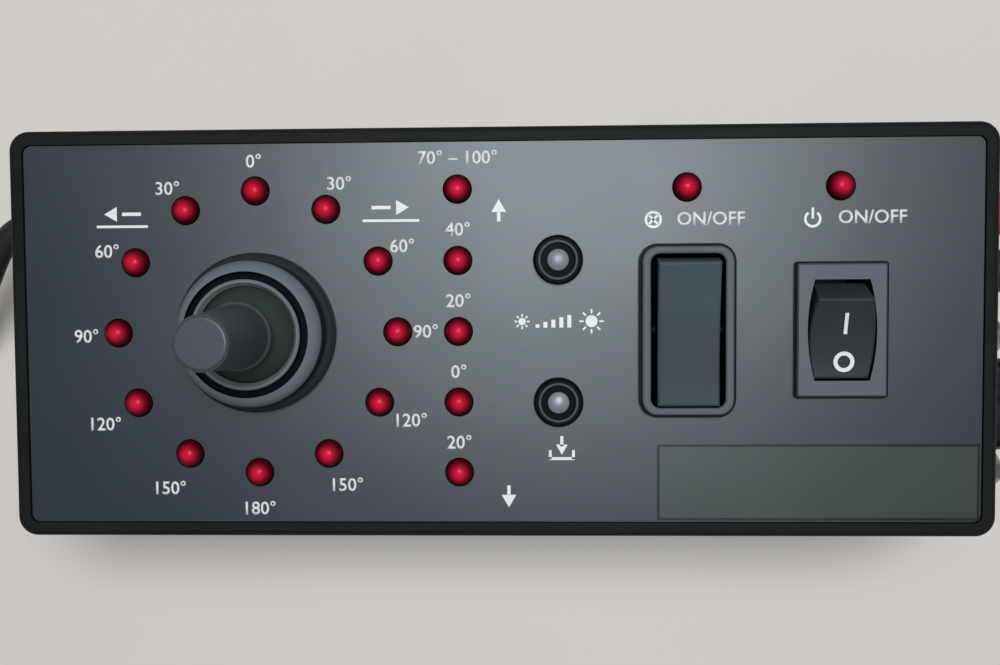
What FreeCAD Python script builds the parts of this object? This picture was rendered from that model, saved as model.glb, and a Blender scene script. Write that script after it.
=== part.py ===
import FreeCAD, Part
import math
import os
import re
import Sketcher

# Control box lying on its back: X along the case, Y towards its far long side, Z out of the face panel.
# The origin is the middle of the rear cover's outer face. Lengths are millimetres, angles are degrees.
SIZES = {
    # Case: a moulded front shell and a flat rear cover
    "case_length": 173.8, "case_width": 72.4, "case_height": 45.0, "corner_radius": 3.5, "wall": 2.5,
    "edge_round": 1.1, "rim_width": 2.5, "rim_rise": 0.5, "panel_skin": 2.5,
    "cover_thickness": 3.0, "lip_height": 3.0, "lip_thickness": 1.6, "fit_gap": 0.2,
    "pillar_size": 8.5, "pillar_height": 11.0, "cover_edge_round": 0.8, "rail_gap": 1.0,
    # Overlay sheet sunk in the rim, and the bare plate on it
    "overlay_thickness": 0.3, "overlay_gap": 0.15, "overlay_corner": 1.5,
    "plate_length": 56.0, "plate_width": 13.4, "plate_thickness": 0.25, "plate_margin": 0.5,
    # Where the controls stand on the face, as shares of the case's length
    "line_y": 0.3, "joystick_share": -0.24626, "column_share": -0.04056, "button_share": 0.0607,
    "light_share": 0.19016, "power_share": 0.34292,
    "joystick_x": "=joystick_share * case_length", "column_x": "=column_share * case_length",
    "button_x": "=button_share * case_length", "light_x": "=light_share * case_length",
    "power_x": "=power_share * case_length",
    "lamp_ring": 25.0, "lamp_pitch": 12.5, "switch_lamp_y": 25.0, "button_pitch": 25.0,
    # 5 mm lamps
    "lamp_radius": 2.5, "lamp_length": 8.7, "lamp_rise": 2.1, "lamp_collar": 2.95, "lamp_collar_height": 1.0,
    "hole_slack": 0.1, "lead_size": 0.5, "lead_spacing": 2.54, "lead_length": 1.6,
    # Circuit board and what is soldered to it
    "board_thickness": 1.6, "board_margin": 1.2, "board_end_gap": 9.4, "board_step_gap": 15.8,
    "board_tail_gap": 16.4, "board_strip_y": 18.0, "post_radius": 2.8, "post_inset": 3.5,
    "board_hole_slack": 0.6,
    "board_left": "=board_end_gap + wall - case_length / 2", "board_step": "=light_x - board_step_gap",
    "board_right": "=case_length / 2 - wall - board_tail_gap", "post_mid_x": "=(light_x + power_x) / 2",
    "chip_length": 35.0, "chip_width": 6.6, "chip_height": 3.4, "chip_bevel": 0.5, "chip_offset": 7.5,
    "chip_x": "=column_x + chip_offset",
    "regulator_length": 9.0, "regulator_width": 10.4, "regulator_height": 4.5, "regulator_gap": 11.0,
    "regulator_x": "=light_x - regulator_gap",
    "resistor_length": 3.2, "resistor_width": 1.6, "resistor_height": 0.6, "resistor_offset": 5.2,
    # Screws
    "cover_screw": 1.5, "cover_screw_head": 2.8, "cover_screw_head_height": 1.7, "cover_screw_length": 10.0,
    "cross_length": 3.0, "cross_width": 0.7, "cross_depth": 0.9,
    "board_screw": 1.0, "board_screw_head": 1.9, "board_screw_head_height": 1.3,
    "board_screw_bite": 3.0, "thread_slack": 0.05, "head_top_share": 0.8, "head_edge_share": 0.6,
    # Joystick bezel and its nut
    "flange_radius": 14.1, "flange_thickness": 2.2, "flange_bevel": 0.5, "lip_bevel": 0.3,
    "ring_radius": 12.7, "ring_shoulder": 6.3, "ring_top": 8.8,
    "ring_crest": 10.75, "ring_bulge": 4.0, "groove_radius": 9.5, "groove_floor": 7.6,
    "lip_radius": 8.3, "lip_flare": 0.6, "lip_top": 9.3,
    "neck_radius": 12.0, "neck_length": 8.0, "bore_radius": 10.35, "nut_flats": 28.0, "nut_thickness": 3.0,
    # Stick, shroud and gimbal, measured from the pivot
    "pivot_rise": 2.0, "dome_radius": 10.0, "dome_wall": 1.2, "dome_gap": 0.35,
    "dome_rim_angle": 68.5, "shaft_radius": 2.5, "shaft_foot_radius": 2.0, "shaft_foot": 12.0,
    "shaft_top": 27.3, "hub_radius": 4.0, "hub_half": 1.6, "hub_cone": 1.0, "collar_radius": 5.5,
    "collar_top": 3.6,
    "collar_thickness": 1.0, "gimbal_inner": 5.2, "gimbal_outer": 7.7, "gimbal_half": 1.5,
    "pin_radius": 0.9, "pin_slack": 0.05, "pin_end_gap": 0.2, "pin_reach": 11.5, "pin_start": 5.5,
    "cross_pin_half": 7.5,
    "knob_base": 11.0, "knob_tip": 32.4, "knob_skirt_radius": 5.75, "knob_skirt_height": 1.5,
    "knob_base_radius": 5.35, "knob_tip_radius": 4.35, "knob_round": 0.7, "knob_bevel": 0.4,
    "magnet_radius": 3.0, "magnet_thickness": 2.0,
    # Cup below the bezel, its sensor board and the return spring
    "cup_depth": 9.0, "cup_floor": 2.0, "ledge_radius": 8.2, "ledge_drop": 14.0, "ledge_thickness": 1.2,
    "sensor_thickness": 1.0, "sensor_gap": 0.15, "sensor_chip": 4.0, "sensor_chip_height": 1.2,
    "spring_wire": 0.7, "spring_foot_radius": 9.2, "spring_top_radius": 5.0, "spring_pitch": 2.4,
    "spring_gap": 0.1,
    # Large rocker switch
    "light_bezel_length": 30.4, "light_bezel_width": 16.9, "light_bezel_corner": 3.2, "light_step": 1.2,
    "light_step_width": 0.5, "light_lip_rise": 2.4, "light_lip_round": 0.5, "light_opening_length": 26.8,
    "light_opening_width": 12.9, "light_opening_corner": 1.6, "light_body_length": 28.4,
    "light_body_width": 15.2, "light_depth": 20.0, "light_floor": 1.5, "light_rocker_width": 10.8,
    "light_pivot_depth": 4.5, "light_ridge": 5.0, "light_throw": 11.0, "light_hollow": 66.0,
    "light_keel": 6.0, "light_keel_depth": 3.0,
    # Small rocker switch
    "power_bezel_length": 23.8, "power_bezel_width": 16.1, "power_bezel_corner": 0.6,
    "power_bezel_rise": 1.8, "power_bezel_chamfer": 0.6, "power_opening_length": 17.6,
    "power_opening_end": 9.5, "power_opening_bulge": 33.0, "power_body_length": 19.8,
    "power_body_width": 14.6, "power_depth": 16.0, "power_floor": 1.5, "power_rocker_end": 8.5,
    "power_rocker_bulge": 28.4, "power_pivot_depth": 5.5, "power_ridge": 5.0, "power_throw": 26.0,
    "power_hollow": 26.0, "power_keel": 4.5, "power_keel_depth": 3.5,
    # Shared by both rockers
    "switch_body_corner": 0.8, "rocker_top_band": 2.0, "rocker_gap": 0.3, "rocker_skirt": 1.0,
    "rocker_round": 0.45, "trunnion_radius": 1.3,
    "trunnion_bite": 0.4, "trunnion_slack": 0.05,
    "tab_width": 6.3, "tab_thickness": 0.8, "tab_length": 8.0, "tab_pitch": 8.0, "power_tab_pitch": 7.0,
    "power_tab_width": 4.8,
    # Push buttons
    "button_rim_radius": 4.35, "button_rim_height": 1.6, "button_rim_bevel": 0.45, "button_dish_radius": 2.95,
    "button_dish_depth": 0.7, "button_thread_radius": 3.4, "button_depth": 9.0, "button_chamber_radius": 2.4,
    "button_chamber_top": 1.5, "button_chamber_floor": 6.5, "plunger_radius": 1.85, "plunger_top": 2.3,
    "plunger_crown": 0.6, "plunger_foot_radius": 2.3, "plunger_foot": 0.8, "plunger_slack": 0.05,
    "button_nut_flats": 9.0, "button_nut_thickness": 2.0, "button_spring_wire": 0.35,
    "button_spring_radius": 1.6, "button_spring_pitch": 1.1, "button_pin_width": 0.8,
    "button_pin_thickness": 0.3, "button_pin_length": 4.0, "button_pin_spacing": 4.0,
    # Right wall: two 4 mm sockets and the nine-way data socket
    "side_drop": 15.5, "red_share": 0.29006, "socket_spacing": 10.6, "data_share": -0.19613,
    "side_z": "=case_height - side_drop", "red_y": "=red_share * case_width",
    "black_y": "=red_y - socket_spacing", "data_y": "=data_share * case_width",
    "socket_bore": 2.0, "socket_collar": 4.0, "socket_reach": 9.0, "socket_bevel": 0.4, "socket_thread": 3.0,
    "socket_tail": 14.0, "socket_bore_depth": 10.0, "socket_nut_flats": 9.0, "socket_nut_thickness": 2.2,
    "data_flange_length": 30.8, "data_flange_height": 12.5, "data_flange_thickness": 0.9,
    "data_flange_corner": 1.2, "data_shell_length": 17.4, "data_shell_height": 8.9, "data_shell_slant": 0.8,
    "data_shell_wall": 0.5, "data_shell_reach": 6.0, "data_shell_corner": 2.2, "data_cutout": 1.6,
    "data_insert_gap": 0.05, "data_insert_recess": 0.3, "data_insert_tail": 8.0, "data_room_margin": 1.0,
    "contact_pitch": 2.77, "contact_row": 2.84, "contact_radius": 0.55, "contact_depth": 4.0,
    "jack_spacing": 25.0, "jack_flats": 4.8, "jack_reach": 5.0, "jack_shank": 1.5, "jack_bore": 1.2,
    "jack_bore_depth": 4.0, "jack_tail": 7.0,
    # Left wall: cable gland
    "gland_share": 0.29696, "gland_y": "=gland_share * case_width", "gland_z": 20.0,
    "gland_flange_radius": 6.0, "gland_flange": 1.2, "gland_reach": 5.0, "gland_root_radius": 4.4,
    "gland_mouth_radius": 3.3, "gland_thread": 4.0, "gland_tail": 6.0, "gland_nut_flats": 12.0,
    "gland_nut_thickness": 2.5,
    # Cable, its coil and its plug
    "cable_diameter": 5.0, "coil_offset": 68.1, "coil_drop": 47.5, "coil_radius": 29.0, "coil_width": 10.0,
    "coil_height": 20.0, "coil_corner": 2.5, "coil_x": "=-case_length / 2 - coil_offset",
    "coil_y": "=gland_y - coil_drop",
    "plug_offset": 36.0, "plug_reach": 34.0,
    "plug_x": "=coil_x - plug_offset", "plug_y": "=coil_y + plug_reach",
    "plug_radius": 6.0, "plug_length": 21.0, "plug_bevel": 0.6, "plug_wall": 1.2, "plug_throat": 9.0,
    "sleeve_length": 13.0, "sleeve_radius": 5.0, "sleeve_mouth": 3.2, "plug_pin_circle": 2.6,
    "plug_pin_radius": 0.6, "plug_pin_length": 7.5,
}

# Heights of the panel's layers, as expressions of the sizes
FACE = "(case_height - rim_rise)"
SEAT = "(case_height - rim_rise - overlay_thickness)"
UNDER = "(case_height - rim_rise - overlay_thickness - panel_skin)"
BOARD = "(case_height - rim_rise + lamp_rise - lamp_length)"
BOARD_BACK = "(case_height - rim_rise + lamp_rise - lamp_length - board_thickness)"
PIVOT = "(case_height - rim_rise + pivot_rise)"

document = FreeCAD.newDocument("HandController")
sheet = document.addObject("Spreadsheet::Sheet", "Sizes")
for row, (name, value) in enumerate(SIZES.items(), 1):
    sheet.set(f"A{row}", name)
    sheet.set(f"B{row}", str(value))
    sheet.setAlias(f"B{row}", name)
document.recompute()
nodes = []


def bound(text):
    """Put the sheet's name before each size that an expression names."""
    return re.sub(r"[a-z][a-z_]*", lambda word: "Sizes." + word[0] if word[0] in SIZES else word[0], text)


def size(text):
    """Value of an expression of the sizes."""
    return float(getattr(sheet.evalExpression(bound(text)), "Value", sheet.evalExpression(bound(text))))


def bind(item, **places):
    """Bind properties to expressions of the sizes, with __ standing for a dot."""
    for place, text in places.items():
        item.setExpression(place.replace("__", "."), bound(text))


def put(item, x="0", y="0", z="0", axis=None, angle="0"):
    """Place an object by expressions, turned about an axis where one is given."""
    if axis is not None:
        item.Placement = FreeCAD.Placement(FreeCAD.Vector(), FreeCAD.Rotation(axis, 1))
        bind(item, Placement__Rotation__Angle=angle)
    bind(item, Placement__Base__x=x, Placement__Base__y=y, Placement__Base__z=z)


def new_body(label, kept=True):
    body = document.addObject("PartDesign::Body", label)
    body.Label = label
    if kept:
        nodes.append(body)
    return body


def draw_on(body, plane, lift="0", across="0", along="0"):
    """Empty sketch on one of the body's own origin planes, moved by expressions."""
    drawing = body.newObject("Sketcher::SketchObject", body.Label + "_sketch")
    support = next(item for item in body.Origin.OriginFeatures if item.Role == plane)
    drawing.AttachmentSupport = [(support, "")]
    drawing.MapMode = "FlatFace"
    bind(drawing, AttachmentOffset__Base__x=across, AttachmentOffset__Base__y=along,
         AttachmentOffset__Base__z=lift)
    return drawing


def hold(drawing, kind, places, text):
    index = drawing.addConstraint(Sketcher.Constraint(kind, *places, size(text)))
    drawing.setExpression(f"Constraints[{index}]", bound(text))


def hold_point(drawing, shape, end, x, y):
    hold(drawing, "DistanceX", (-1, 1, shape, end), x)
    hold(drawing, "DistanceY", (-1, 1, shape, end), y)


def circle(drawing, radius, x="0", y="0"):
    centre = FreeCAD.Vector(size(x), size(y), 0)
    shape = drawing.addGeometry(Part.Circle(centre, FreeCAD.Vector(0, 0, 1), size(radius)))
    hold_point(drawing, shape, 3, x, y)
    hold(drawing, "Radius", (shape,), radius)


def outline(drawing, corners):
    """Closed outline. A corner is (x, y), reached by a line, or (x, y, radius, turn), reached by an arc
    that turns left (turn 1) or right (turn -1)."""
    spots = [FreeCAD.Vector(size(corner[0]), size(corner[1]), 0) for corner in corners]
    sides = []
    for index, corner in enumerate(corners):
        begin, end = spots[index - 1], spots[index]
        if len(corner) == 2:
            shape = drawing.addGeometry(Part.LineSegment(begin, end))
            sides.append((shape, 1, 2))
            continue
        radius, turn = size(corner[2]), corner[3]
        chord = end - begin
        left = FreeCAD.Vector(-chord.y, chord.x, 0).normalize()
        centre = (begin + end) * 0.5 + left * turn * math.sqrt(max(radius ** 2 - chord.Length ** 2 / 4, 0))
        first, last = (begin, end) if turn > 0 else (end, begin)
        start = math.atan2(first.y - centre.y, first.x - centre.x)
        stop = math.atan2(last.y - centre.y, last.x - centre.x)
        stop += 2 * math.pi if stop < start else 0
        round_shape = Part.Circle(centre, FreeCAD.Vector(0, 0, 1), radius)
        shape = drawing.addGeometry(Part.ArcOfCircle(round_shape, start, stop))
        hold(drawing, "Radius", (shape,), corner[2])
        sides.append((shape, 1, 2) if turn > 0 else (shape, 2, 1))
    for index, (shape, begin_end, finish_end) in enumerate(sides):
        before = sides[index - 1]
        drawing.addConstraint(Sketcher.Constraint("Coincident", before[0], before[2], shape, begin_end))
        hold_point(drawing, shape, finish_end, corners[index][0], corners[index][1])


def rectangle(drawing, length, width, x="0", y="0"):
    left, right = f"({x}) - ({length}) / 2", f"({x}) + ({length}) / 2"
    low, high = f"({y}) - ({width}) / 2", f"({y}) + ({width}) / 2"
    outline(drawing, [(left, low), (right, low), (right, high), (left, high)])


def rounded(drawing, length, width, radius, x="0", y="0"):
    """Rectangle with round corners."""
    left, right = f"({x}) - ({length}) / 2", f"({x}) + ({length}) / 2"
    low, high = f"({y}) - ({width}) / 2", f"({y}) + ({width}) / 2"
    outline(drawing, [
        (f"{right} - ({radius})", low), (right, f"{low} + ({radius})", radius, 1),
        (right, f"{high} - ({radius})"), (f"{right} - ({radius})", high, radius, 1),
        (f"{left} + ({radius})", high), (left, f"{high} - ({radius})", radius, 1),
        (left, f"{low} + ({radius})"), (f"{left} + ({radius})", low, radius, 1)])


def hexagon(drawing, flats, x="0", y="0"):
    outline(drawing, [
        (f"({x}) + ({flats}) / sqrt(3) * cos({angle})", f"({y}) + ({flats}) / sqrt(3) * sin({angle})")
        for angle in range(0, 360, 60)])


def pad(body, drawing, length, both=False):
    """Solid from a sketch, along its normal or to both sides of it."""
    feature = body.newObject("PartDesign::Pad", body.Label + "_pad")
    feature.Profile = drawing
    feature.SideType = "Symmetric" if both else "One side"
    bind(feature, Length=length)
    return feature


def cut(body, drawing, depth, along=False, both=False):
    """Cut against a sketch's normal, along it, or to both sides of it."""
    feature = body.newObject("PartDesign::Pocket", body.Label + "_cut")
    feature.Profile = drawing
    feature.SideType = "Symmetric" if both else "One side"
    feature.Reversed = along
    bind(feature, Length=depth)
    return feature


def turned(label, corners, kept=True):
    """Body turned about Z from a half profile of (radius, height) corners."""
    body = new_body(label, kept)
    drawing = draw_on(body, "XZ_Plane")
    outline(drawing, corners)
    feature = body.newObject("PartDesign::Revolution", label + "_turn")
    feature.Profile = drawing
    feature.ReferenceAxis = (drawing, ["V_Axis"])
    feature.Angle = 360
    return body


def soften(body, radius, wanted, kind="PartDesign::Fillet", setting="Radius"):
    """Round or chamfer the edges of the body so far whose middle point and direction are wanted."""
    document.recompute()
    base = body.Tip
    names = []
    for index, edge in enumerate(base.Shape.Edges, 1):
        middle = edge.valueAt((edge.FirstParameter + edge.LastParameter) / 2)
        if wanted(middle, edge.tangentAt((edge.FirstParameter + edge.LastParameter) / 2)):
            names.append(f"Edge{index}")
    feature = body.newObject(kind, body.Label + "_soft")
    feature.Base = (base, names)
    setattr(feature, "Size" if setting == "Size" else "Radius", size(radius))
    bind(feature, **{setting: radius})


def box(label, length, width, height, x, y, z, kept=True):
    """Box given by its sizes and the middle of its lower face."""
    item = document.addObject("Part::Box", label)
    item.Label = label
    bind(item, Length=length, Width=width, Height=height)
    put(item, f"({x}) - ({length}) / 2", f"({y}) - ({width}) / 2", z)
    if kept:
        nodes.append(item)
    return item


def copies(label, master, places):
    """Node of separate like solids: the master's shape set down at each (x, y, z) and turn about Z."""
    document.recompute()
    solids = []
    for x, y, z, turn in places:
        solid = master.Shape.copy()
        solid.Placement = FreeCAD.Placement(
            FreeCAD.Vector(size(x), size(y), size(z)),
            FreeCAD.Rotation(FreeCAD.Vector(0, 0, 1), turn)).multiply(master.Shape.Placement)
        solids.append(solid)
    item = document.addObject("Part::Feature", label)
    item.Label = label
    item.Shape = Part.makeCompound(solids)
    nodes.append(item)
    return item


# Places that more than one piece uses
ring_lamps = [(f"joystick_x + lamp_ring * sin({turn})", f"line_y + lamp_ring * cos({turn})")
              for turn in range(0, 360, 30)]
column_lamps = [("column_x", f"line_y + lamp_pitch * {step}") for step in (2, 1, 0, -1, -2)]
light_lamp_place = ("light_x", "line_y + switch_lamp_y")
power_lamp_place = ("power_x", "line_y + switch_lamp_y")
button_places = [("button_x", "line_y + button_pitch / 2"), ("button_x", "line_y - button_pitch / 2")]
board_top = "(case_width / 2 - wall - board_margin)"
board_posts = [("board_left + post_inset", f"{board_top} - post_inset"),
               ("board_left + post_inset", f"post_inset - {board_top}"),
               ("board_step - post_inset", f"post_inset - {board_top}"),
               ("board_step - post_inset", f"{board_top} - post_inset"),
               ("post_mid_x", f"{board_top} - post_inset")]
cover_posts = [(f"{side} * (case_length / 2 - wall - pillar_size / 2)",
                f"{end} * (case_width / 2 - wall - pillar_size / 2)") for side in (-1, 1) for end in (-1, 1)]
jack_places = [("data_y - jack_spacing / 2", "side_z"), ("data_y + jack_spacing / 2", "side_z")]


def panel_openings(body, level, depth):
    """Every opening of the face, cut down from a level: the same through the shell and the overlay."""
    ring = draw_on(body, "XY_Plane", level, "joystick_x", "line_y")
    circle(ring, "lamp_radius + hole_slack", "0", "lamp_ring")
    first = cut(body, ring, depth)
    pattern = body.newObject("PartDesign::PolarPattern", body.Label + "_ring")
    pattern.Originals = [first]
    pattern.Axis = (ring, ["N_Axis"])
    pattern.Angle = 360
    pattern.Occurrences = len(ring_lamps)
    body.Tip = pattern
    column = draw_on(body, "XY_Plane", level, "column_x", "line_y - 2 * lamp_pitch")
    circle(column, "lamp_radius + hole_slack")
    first = cut(body, column, depth)
    row_pattern = body.newObject("PartDesign::LinearPattern", body.Label + "_column")
    row_pattern.Originals = [first]
    row_pattern.Direction = (column, ["V_Axis"])
    bind(row_pattern, Length="4 * lamp_pitch")
    row_pattern.Occurrences = len(column_lamps)
    body.Tip = row_pattern
    rest = draw_on(body, "XY_Plane", level)
    circle(rest, "neck_radius + hole_slack", "joystick_x", "line_y")
    for place in (light_lamp_place, power_lamp_place):
        circle(rest, "lamp_radius + hole_slack", *place)
    for place in button_places:
        circle(rest, "button_thread_radius + hole_slack", *place)
    for name in ("light", "power"):
        rectangle(rest, f"{name}_body_width + 2 * hole_slack", f"{name}_body_length + 2 * hole_slack",
                  f"{name}_x", "line_y")
    cut(body, rest, depth)


# Front shell: moulded box, open at the back, with a sunken panel, corner pillars and board posts
shell = new_body("front_shell")
block = draw_on(shell, "XY_Plane", "cover_thickness")
rounded(block, "case_length", "case_width", "corner_radius")
pad(shell, block, "case_height - cover_thickness")
soften(shell, "edge_round", lambda point, way: point.z > size("case_height") - 0.01)
cavity = draw_on(shell, "XY_Plane", "cover_thickness")
rounded(cavity, "case_length - 2 * wall", "case_width - 2 * wall", "corner_radius - wall")
cut(shell, cavity, f"{UNDER} - cover_thickness", along=True)
recess = draw_on(shell, "XY_Plane", "case_height")
rounded(recess, "case_length - 2 * rim_width", "case_width - 2 * rim_width", "overlay_corner")
cut(shell, recess, "rim_rise + overlay_thickness")
pillars = draw_on(shell, "XY_Plane", "cover_thickness")
for x, y in cover_posts:
    side, end = (1 if size(x) > 0 else -1), (1 if size(y) > 0 else -1)
    rectangle(pillars, "pillar_size + wall / 2", "pillar_size + wall / 2",
              f"{x} + {side} * wall / 4", f"{y} + {end} * wall / 4")
pad(shell, pillars, "pillar_height")
pilots = draw_on(shell, "XY_Plane", "cover_thickness")
for x, y in cover_posts:
    circle(pilots, "cover_screw + thread_slack", x, y)
cut(shell, pilots, "cover_screw_length", along=True)
posts = draw_on(shell, "XY_Plane", BOARD)
for x, y in board_posts:
    circle(posts, "post_radius", x, y)
pad(shell, posts, f"{UNDER} - {BOARD} + panel_skin / 2")
post_holes = draw_on(shell, "XY_Plane", BOARD)
for x, y in board_posts:
    circle(post_holes, "board_screw + thread_slack", x, y)
cut(shell, post_holes, f"{UNDER} - {BOARD}", along=True)
panel_openings(shell, SEAT, "panel_skin")
left_wall = draw_on(shell, "YZ_Plane", "-case_length / 2")
circle(left_wall, "gland_thread + hole_slack", "gland_y", "gland_z")
cut(shell, left_wall, "wall", along=True)
right_wall = draw_on(shell, "YZ_Plane", "case_length / 2")
for y in ("red_y", "black_y"):
    circle(right_wall, "socket_thread + hole_slack", y, "side_z")
for y, z in jack_places:
    circle(right_wall, "jack_shank + hole_slack", y, z)
rectangle(right_wall, "data_shell_length + data_cutout", "data_shell_height + data_cutout",
          "data_y", "side_z")
cut(shell, right_wall, "wall")

# Overlay: printed sheet let into the rim
overlay = new_body("face_overlay")
sheet_outline = draw_on(overlay, "XY_Plane", SEAT)
rounded(sheet_outline, "case_length - 2 * rim_width - 2 * overlay_gap",
        "case_width - 2 * rim_width - 2 * overlay_gap", "overlay_corner - overlay_gap")
pad(overlay, sheet_outline, "overlay_thickness")
panel_openings(overlay, FACE, "overlay_thickness")

# Bare plate in the panel's corner
box("name_plate", "plate_length", "plate_width", "plate_thickness",
    "case_length / 2 - rim_width - plate_margin - plate_length / 2",
    "rim_width + plate_margin + plate_width / 2 - case_width / 2", FACE)

# Rear cover: flat lid with four locating rails and sunk screw seats
cover = new_body("rear_cover")
lid = draw_on(cover, "XY_Plane")
rounded(lid, "case_length", "case_width", "corner_radius")
pad(cover, lid, "cover_thickness")
soften(cover, "cover_edge_round", lambda point, way: point.z < 0.01)
rails = draw_on(cover, "XY_Plane", "cover_thickness")
for side in (-1, 1):
    rectangle(rails, "case_length - 2 * wall - 2 * pillar_size - 2 * rail_gap", "lip_thickness",
              "0", f"{side} * (case_width / 2 - wall - fit_gap - lip_thickness / 2)")
    rectangle(rails, "lip_thickness", "case_width - 2 * wall - 2 * pillar_size - 2 * rail_gap",
              f"{side} * (case_length / 2 - wall - fit_gap - lip_thickness / 2)", "0")
pad(cover, rails, "lip_height")
screw_holes = draw_on(cover, "XY_Plane")
for x, y in cover_posts:
    circle(screw_holes, "cover_screw + hole_slack", x, y)
cut(cover, screw_holes, "cover_thickness", along=True)
screw_seats = draw_on(cover, "XY_Plane")
for x, y in cover_posts:
    circle(screw_seats, "cover_screw_head + fit_gap", x, y)
cut(cover, screw_seats, "cover_screw_head_height + hole_slack", along=True)

# Cover screws: pan heads with a cross recess, driven from the back
cover_screw = turned("cover_screw", [
    ("0", "-cover_screw_head_height"), ("cover_screw_head * head_top_share", "-cover_screw_head_height"),
    ("cover_screw_head", "-cover_screw_head_height * head_edge_share"), ("cover_screw_head", "0"),
    ("cover_screw", "0"), ("cover_screw", "cover_screw_length"), ("0", "cover_screw_length")], kept=False)
for length, width in (("cross_length", "cross_width"), ("cross_width", "cross_length")):
    slot = draw_on(cover_screw, "XY_Plane", "-cover_screw_head_height")
    rectangle(slot, length, width)
    cut(cover_screw, slot, "cross_depth", along=True)
copies("cover_screws", cover_screw, [
    (x, y, "cover_screw_head_height + hole_slack", 0) for x, y in cover_posts])

# Circuit board behind the panel, stepped round the two switches
board = new_body("lamp_board")
board_outline = draw_on(board, "XY_Plane", BOARD_BACK)
outline(board_outline, [
    ("board_left", f"-{board_top}"), ("board_step", f"-{board_top}"), ("board_step", "board_strip_y"),
    ("board_right", "board_strip_y"), ("board_right", board_top), ("board_left", board_top)])
pad(board, board_outline, "board_thickness")
board_holes = draw_on(board, "XY_Plane", BOARD)
circle(board_holes, "neck_radius + board_hole_slack", "joystick_x", "line_y")
for place in button_places:
    circle(board_holes, "button_thread_radius + board_hole_slack", *place)
for place in board_posts:
    circle(board_holes, "board_screw + hole_slack", *place)
cut(board, board_holes, "board_thickness")

# Board screws, from behind into the posts
board_screw = turned("board_screw", [
    ("0", "-board_screw_head_height"), ("board_screw_head", "-board_screw_head_height"),
    ("board_screw_head", "0"), ("board_screw", "0"), ("board_screw", "board_thickness + board_screw_bite"),
    ("0", "board_thickness + board_screw_bite")], kept=False)
copies("board_screws", board_screw, [(x, y, BOARD_BACK, 0) for x, y in board_posts])

# Parts on the back of the board
chip = new_body("controller_chip")
chip_case = draw_on(chip, "XY_Plane", f"{BOARD_BACK} - chip_height", "chip_x", "line_y")
rectangle(chip_case, "chip_width", "chip_length")
pad(chip, chip_case, "chip_height")
soften(chip, "chip_bevel", lambda point, way: abs(point.z - size(BOARD_BACK) + size("chip_height")) < 0.01,
       "PartDesign::Chamfer", "Size")
box("voltage_regulator", "regulator_length", "regulator_width", "regulator_height", "regulator_x",
    f"(board_strip_y + {board_top}) / 2", f"{BOARD_BACK} - regulator_height")
resistor = box("resistor", "resistor_width", "resistor_length", "resistor_height", "0", "0", "0", kept=False)
resistor_places = [(f"joystick_x + (lamp_ring - resistor_offset) * sin({turn})",
                    f"line_y + (lamp_ring - resistor_offset) * cos({turn})",
                    f"{BOARD_BACK} - resistor_height", -turn) for turn in range(0, 360, 30)]
resistor_places += [(f"{x} - resistor_offset", y, f"{BOARD_BACK} - resistor_height", 0)
                    for x, y in column_lamps + [light_lamp_place, power_lamp_place]]
copies("lamp_resistors", resistor, resistor_places)

# Lamps: one moulded 5 mm lens, copied round the ring, down the column and above each switch
lamp = turned("lamp", [
    ("0", "0"), ("lamp_collar", "0"), ("lamp_collar", "lamp_collar_height"),
    ("lamp_radius", "lamp_collar_height"), ("lamp_radius", "lamp_length - lamp_radius"),
    ("0", "lamp_length", "lamp_radius", 1)], kept=False)
copies("pan_lamps", lamp, [(x, y, BOARD, 0) for x, y in ring_lamps])
copies("tilt_lamps", lamp, [(x, y, BOARD, 0) for x, y in column_lamps])
copies("light_lamp", lamp, [(*light_lamp_place, BOARD, 0)])
copies("power_lamp", lamp, [(*power_lamp_place, BOARD, 0)])
lead = box("lead", "lead_size", "lead_size", "lead_length", "0", "0", "0", kept=False)
copies("lamp_leads", lead, [(f"{x} + {side} * lead_spacing / 2", y, f"{BOARD_BACK} - lead_length", 0)
                            for x, y in ring_lamps + column_lamps + [light_lamp_place, power_lamp_place]
                            for side in (-1, 1)])

# Joystick bezel: flange, raised ring, groove and lip round the ball opening, threaded neck below
sphere = "(dome_radius + dome_gap)"
bezel = turned("joystick_bezel", [
    ("neck_radius", "-neck_length"), ("neck_radius", "0"), ("flange_radius", "0"),
    ("flange_radius", "flange_thickness - flange_bevel"),
    ("flange_radius - flange_bevel", "flange_thickness"),
    ("ring_radius", "flange_thickness"), ("ring_radius", "ring_shoulder"),
    ("ring_crest", "ring_top", "ring_bulge", 1), ("ring_crest", "groove_floor"),
    ("groove_radius", "groove_floor"), ("groove_radius", "lip_top - lip_bevel"),
    ("groove_radius - lip_bevel", "lip_top"), ("lip_radius + lip_flare", "lip_top"),
    ("lip_radius", f"pivot_rise + sqrt({sphere} ^ 2 - lip_radius ^ 2)"),
    ("bore_radius", f"pivot_rise + sqrt(max(0; {sphere} ^ 2 - bore_radius ^ 2))", sphere, -1),
    ("bore_radius", "-neck_length")])
pivots = draw_on(bezel, "XZ_Plane")
circle(pivots, "pin_radius + pin_slack", "0", "pivot_rise")
cut(bezel, pivots, "2 * (pin_reach + pin_end_gap)", both=True)
put(bezel, "joystick_x", "line_y", FACE)

# Ring nut that clamps the bezel to the panel
nut = new_body("joystick_nut")
nut_outline = draw_on(nut, "XY_Plane")
hexagon(nut_outline, "nut_flats")
circle(nut_outline, "neck_radius + thread_slack")
pad(nut, nut_outline, "nut_thickness")
put(nut, "joystick_x", "line_y", f"{UNDER} - nut_thickness")

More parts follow.
